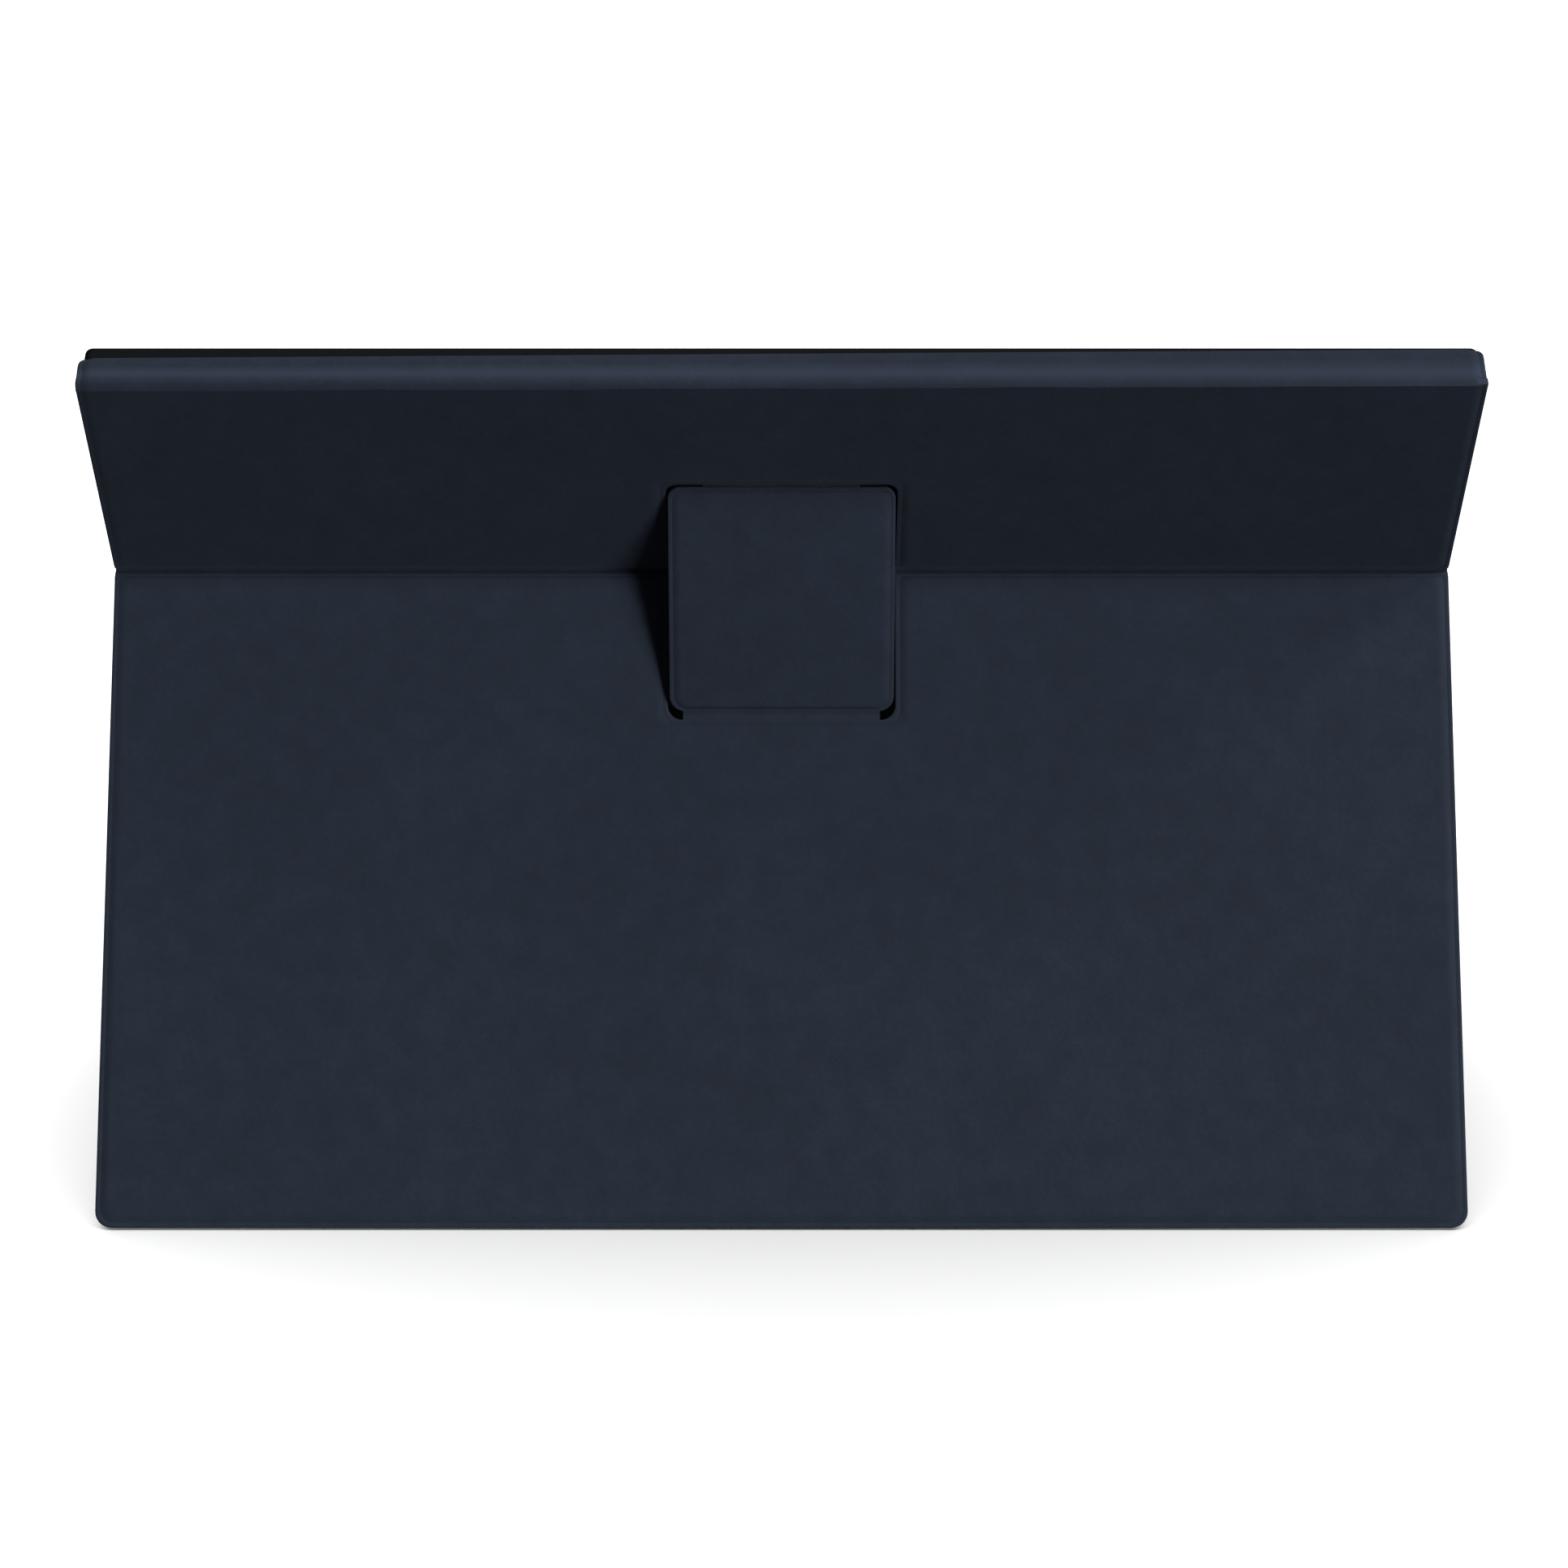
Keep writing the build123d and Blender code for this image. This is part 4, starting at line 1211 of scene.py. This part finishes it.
@dataclass(frozen=True)
class Keys:
    """Every keycap: blank, dished, softly edged, hollow underneath."""

    pitch: float = 18.6
    function_pitch: float = 12.4
    units: float = 15.0
    side_margin: float = 7.0
    rear_margin: float = 17.0
    gap: float = 3.0
    split_gap: float = 1.0
    radius: float = 1.6
    wall: float = 0.9
    top: float = 6.4
    skirt: float = 4.2
    dish: float = 0.13

    def rows(self) -> list:
        """The rows from the rear, each from -x."""
        one, wide = ("modifier_keys", 1.0), ("modifier_keys", 1.25)
        return [
            KeyRow(self.function_pitch, (("function_keys", 1.0),) * 15),
            KeyRow(self.pitch, (("number_keys", 1.0),) * 13 + (("backspace_key", 2.0),)),
            KeyRow(
                self.pitch,
                (("tab_key", 1.5),) + (("upper_letter_keys", 1.0),) * 12 + (("backslash_key", 1.5),),
            ),
            KeyRow(
                self.pitch,
                (("caps_lock_key", 1.75),) + (("home_letter_keys", 1.0),) * 11 + (("enter_key", 2.25),),
            ),
            KeyRow(
                self.pitch,
                (("left_shift_key", 2.25),)
                + (("lower_letter_keys", 1.0),) * 10
                + (("right_shift_key", 2.75),),
            ),
            KeyRow(
                self.pitch,
                (wide, one, one, wide, ("space_key", 5.5), one, one)
                + (("left_arrow_key", 1.0), ("up_down", 1.0), ("right_arrow_key", 1.0)),
            ),
        ]

    def places(self, half_width: float, rear: float) -> list:
        """Where each key is.

        Args:
            half_width: half the deck's width, in millimetres.
            rear: the y of the deck's rear edge.

        Returns:
            For each key its node, centre x and y, width and depth.
        """
        found, y = [], rear - self.rear_margin
        unit = 2 * (half_width - self.side_margin) / self.units
        for row in self.rows():
            x, depth = self.side_margin - half_width, row.pitch - self.gap
            for node, units in row.keys:
                middle, width = x + units * unit / 2, units * unit - self.gap
                if node == "up_down":
                    half = (depth - self.split_gap) / 2
                    step = (half + self.split_gap) / 2
                    found.append(("up_arrow_key", middle, y - row.pitch / 2 + step, width, half))
                    found.append(("down_arrow_key", middle, y - row.pitch / 2 - step, width, half))
                else:
                    found.append((node, middle, y - row.pitch / 2, width, depth))
                x += units * unit
            y -= row.pitch
        return found

    def cap(self, x: float, y: float, width: float, depth: float) -> Shell:
        """One keycap.

        Args:
            x: its centre, in millimetres.
            y: its centre.
            width: its size along x.
            depth: its size along y.

        Returns:
            The shell: rings from the middle of the dished top, whose height falls with the square
            of the distance from the border, over the rounded edge, down the wall, and up inside.
        """
        steps = {"reach": 0.6, "arc_steps": 5, "side_steps": 3}
        outline = box_outline(width / 2, -depth / 2, depth / 2, self.radius, 1.25, **steps)
        deepest = min(width, depth) / 2 - 1.8
        shares = (1, 0.75, 0.5, 0.28, 0.1)
        dished = [(0.55 + deepest * f, self.top - self.dish * (1 - (1 - f) ** 2)) for f in shares]
        profile = dished + [
            (0.5, self.top), (0.34, self.top - 0.03), (0.2, self.top - 0.11), (0.11, self.top - 0.24),
            (0.07, self.top - 0.42), (0.0, self.skirt + 0.06), (0.05, self.skirt), (0.85, self.skirt),
            (self.wall, self.skirt + 0.05), (self.wall, self.top - 0.9), (1.4, self.top - 0.88),
        ]  # fmt: skip
        rubbed = (1.0, 0.85, 0.6, 0.35, 0.15)
        polish = np.array(rubbed + (0.0,) * (len(profile) - len(rubbed)))
        return extruded(outline, profile, (x * MM, y * MM), polish=polish)

    def bump(self, x: float, y: float) -> Shell:
        """A small raised bar by which a finger finds a home key."""
        outline = box_outline(2.0, -0.35, 0.35, 0.34, 0.1, reach=0.3, arc_steps=5, side_steps=2)
        low = self.top - self.dish - 0.05
        profile = ((0.0, low), (0.0, low + 0.22), (0.08, low + 0.3), (0.24, low + 0.34))
        return extruded(outline, profile, (x * MM, y * MM))

    def build(self, half_width: float, rear: float) -> None:
        """Makes one piece for each key body."""
        groups = {}
        for node, x, y, width, depth in self.places(half_width, rear):
            groups.setdefault(node, []).append((x, y, width, depth))
        for node, caps in groups.items():
            shells = [self.cap(*cap) for cap in caps]
            if node == "home_letter_keys":
                shells += [self.bump(caps[n][0], caps[n][1] - 5.2) for n in (3, 6)]
            piece = merged(shells).piece(node.replace("_key", "_cap"), Slot.KEYCAP)
            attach(piece, node)
            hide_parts(node)


def softened(node: str, name: str, slot: Slot, width: float) -> bpy.types.Object:
    """Copies a CAD node, merges its flat faces and rounds its edges.

    Args:
        node: the CAD node, which the copy then stands for.
        name: the new piece's name.
        slot: the finish that it takes.
        width: the rounding's width, in metres.

    Returns:
        The piece.
    """
    source = frame["nodes"][node]
    work = bmesh.new()
    work.from_mesh(source.data)
    bmesh.ops.remove_doubles(work, verts=work.verts, dist=1e-6)
    bmesh.ops.dissolve_limit(work, angle_limit=radians(1), verts=work.verts, edges=work.edges)
    mesh = bpy.data.meshes.new(name)
    work.to_mesh(mesh)
    work.free()
    piece = dressed(name, mesh, slot)
    rounding = piece.modifiers.new("rounding", "BEVEL")
    rounding.width, rounding.segments = width, 3
    rounding.limit_method, rounding.angle_limit = "ANGLE", radians(50)
    rounding.harden_normals = False
    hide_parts(node)
    return piece


@dataclass(frozen=True)
class Deck:
    """The keyboard deck: fabric above and below, the trackpad, and the feet."""

    edge: float = 0.00022
    hole_edge: float = 0.00008
    trackpad_half: float = 56.0
    trackpad_radius: float = 3.0
    foot_half: tuple = (23.0, 3.5)
    foot_inset: float = 9.0

    def build(self) -> None:
        """Makes the deck's own pieces and its keys."""
        low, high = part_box("deck_top_skin")
        half, rear, front = high.x / MM, high.y / MM, low.y / MM
        top = softened("deck_top_skin", "palm_rest_skin", Slot.DECK_FABRIC, self.hole_edge)
        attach(top, "deck")
        keys = Keys()
        holes = sum((w + 0.8) * (d + 0.8) for _, _, _, w, d in keys.places(half, rear))
        pad_low, pad_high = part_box("trackpad_plate")
        holes += ((pad_high.x - pad_low.x) / MM + 0.8) * ((pad_high.y - pad_low.y) / MM + 0.8)
        flat = (2 * half * MM, (rear - front) * MM)
        area = flat[0] * flat[1] - holes * MM * MM
        base = softened("deck_base_skin", "deck_under_skin", Slot.FABRIC, self.edge)
        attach(base, "deck")
        keys.build(half, rear)
        self.build_trackpad(pad_low, pad_high)
        self.build_feet(half, rear, front)

    def build_trackpad(self, low: object, high: object) -> None:
        """Makes the trackpad's plate with a fine bevelled border.

        Args:
            low: the CAD plate's lowest corner.
            high: its highest corner.
        """
        mid, half = (low.y + high.y) / 2, (high.y - low.y) / 2 / MM
        steps = {"reach": 1.0, "arc_steps": 12}
        outline = box_outline(self.trackpad_half, -half, half, self.trackpad_radius, 2.0, **steps)
        bottom, top = low.z / MM, high.z / MM
        profile = (
            (3.0, bottom), (0.3, bottom), (0.0, bottom + 0.15), (0.0, top - 0.22), (0.06, top - 0.1),
            (0.16, top - 0.03), (0.32, top), (0.7, top), (4.0, top),
        )  # fmt: skip
        pad = extruded(outline, profile, (0.0, mid)).piece("trackpad_surface", Slot.TRACKPAD)
        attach(pad, "trackpad")
        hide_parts("trackpad_plate")

    def build_feet(self, half: float, rear: float, front: float) -> None:
        """Makes the four pads, domed a little, as one piece.

        Args:
            half: half the deck's width, in millimetres.
            rear: the y of its rear edge.
            front: the y of its front edge.
        """
        w, d = self.foot_half
        outline = box_outline(w, -d, d, d - 0.01, d - 0.6, reach=0.6, arc_steps=12)
        profile = (
            (1.2, 0.0), (0.5, 0.01), (0.2, 0.06), (0.05, 0.16), (0.0, 0.3), (0.0, 0.52), (1.0, 0.54),
        )  # fmt: skip
        x, ys = half - self.foot_inset - w, (rear - self.foot_inset, front + self.foot_inset)
        spots = [(sx * x * MM, y * MM) for sx in (-1, 1) for y in ys]
        pads = [extruded(outline, profile, spot) for spot in spots]
        feet = merged(pads).piece("deck_foot_pads", Slot.RUBBER)
        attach(feet, "deck")
        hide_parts("deck_feet")


def dress_frame(record: dict) -> None:
    """Gives every carried-over CAD node the finish of its slot."""
    for part in record["subparts"]:
        mesh = frame["nodes"][part["node"]].data
        mesh.materials.clear()
        mesh.materials.append(MATERIALS[Slot(part["material_slot"])])


# ---------------------------------------------------------------------------------------------
# The studio


@dataclass(frozen=True)
class Studio:
    """A plain pale floor, soft light and the camera.

    The case is lit as if it stood in a darker room: the floor has a wide lamp of its own and sends
    no light back, and the case's lamps leave the floor alone. Each sun is a name, its strength, the
    angle that it fills in degrees, and the direction that it comes from.
    """

    floor_half: float = 15.0
    sky: float = 0.08
    suns: tuple = (
        ("key_light", 1.1, 7.0, (-0.322, 0.499, 0.805)),
        ("low_light", 1.8, 22.0, (-0.6, 0.78, 0.12)),
        ("side_light", 1.3, 18.0, (-0.72, -0.12, 0.68)),
    )
    floor_sun: tuple = ("floor_light", 5.6, 120.0, (0.0, -0.5, 1.0))
    camera_from_fold: tuple = (-0.00054, 0.7885, 0.2295)
    elevation: float = 19.5
    lens: float = 84.97

    def build_floor(self) -> bpy.types.Object:
        """Lays the floor as one wide grid, and returns it."""
        s = np.linspace(-self.floor_half, self.floor_half, 9)
        x, y = np.meshgrid(s, s, indexing="ij")
        points = np.stack([x, y, np.full_like(x, -0.00006)], axis=-1).reshape(-1, 3)
        index = np.arange(81).reshape(9, 9)
        quads = np.stack([index[:-1, :-1], index[1:, :-1], index[1:, 1:], index[:-1, 1:]], axis=-1)
        mesh = bpy.data.meshes.new("studio_floor")
        mesh.from_pydata(points.tolist(), [], quads.reshape(-1, 4).tolist())
        floor = bpy.data.objects.new("studio_floor", mesh)
        bpy.context.scene.collection.objects.link(floor)
        graph = Graph("studio_paper")
        tone = graph.noise(0.4, 2.0)
        inputs = {
            "Base Color": graph.mixed(0.5 + tone, (0.9, 0.9, 0.9, 1), (0.93, 0.93, 0.93, 1)),
            "Roughness": 0.9,
            "Specular IOR Level": 0.0,
        }
        mesh.materials.append(graph.finish(inputs, graph.noise(0.002, 2.0), 0.00001))
        floor.visible_diffuse = floor.visible_glossy = False
        return floor

    def sunlight(self, name: str, strength: float, spread: float, start: tuple, floor: tuple) -> None:
        """Adds one sun.

        Args:
            name: its name.
            strength: its strength.
            spread: the angle that it fills, in degrees.
            start: the direction that it comes from.
            floor: the floor, and INCLUDE to light it alone or EXCLUDE to leave it alone.
        """
        light = bpy.data.lights.new(name, "SUN")
        light.energy, light.angle = strength, radians(spread)
        sun = bpy.data.objects.new(name, light)
        sun.rotation_euler = Vector(start).to_track_quat("Z", "Y").to_euler()
        bpy.context.scene.collection.objects.link(sun)
        lit = bpy.data.collections.new(name + "_receivers")
        lit.objects.link(floor[0])
        lit.collection_objects[0].light_linking.link_state = floor[1]
        sun.light_linking.receiver_collection = lit

    def build(self) -> None:
        """Sets up the world, the lamps, the floor and the camera."""
        scene = bpy.context.scene
        world = bpy.data.worlds.new("studio")
        world.use_nodes = True
        background = world.node_tree.nodes["Background"]
        background.inputs[0].default_value = (1.0, 1.0, 1.0, 1.0)
        background.inputs[1].default_value = self.sky
        scene.world = world
        scene.view_settings.view_transform = "Standard"
        floor = self.build_floor()
        for sun in self.suns:
            self.sunlight(*sun, (floor, "EXCLUDE"))
        self.sunlight(*self.floor_sun, (floor, "INCLUDE"))
        data = bpy.data.cameras.new("camera")
        data.lens, data.sensor_width = self.lens, 36.0
        data.clip_start, data.clip_end = 0.05, 50.0
        camera = bpy.data.objects.new("camera", data)
        camera.location = PLANES.tray.origin + np.array(self.camera_from_fold)
        camera.rotation_euler = (radians(90 - self.elevation), 0.0, radians(180))
        scene.collection.objects.link(camera)
        scene.camera = camera


def main() -> None:
    """Builds the case's pieces in order, then the studio."""
    logging.basicConfig(level=logging.INFO, format="%(message)s")
    dress_frame(frame["record"])
    for part in (Leg(), StrutTab(), UpperPanel(), FoldStrips(), Tray(), SpineBar(), Deck()):
        log.info("building %s", type(part).__name__)
        part.build()
    Studio().build()


if __name__ == "__main__":
    main()
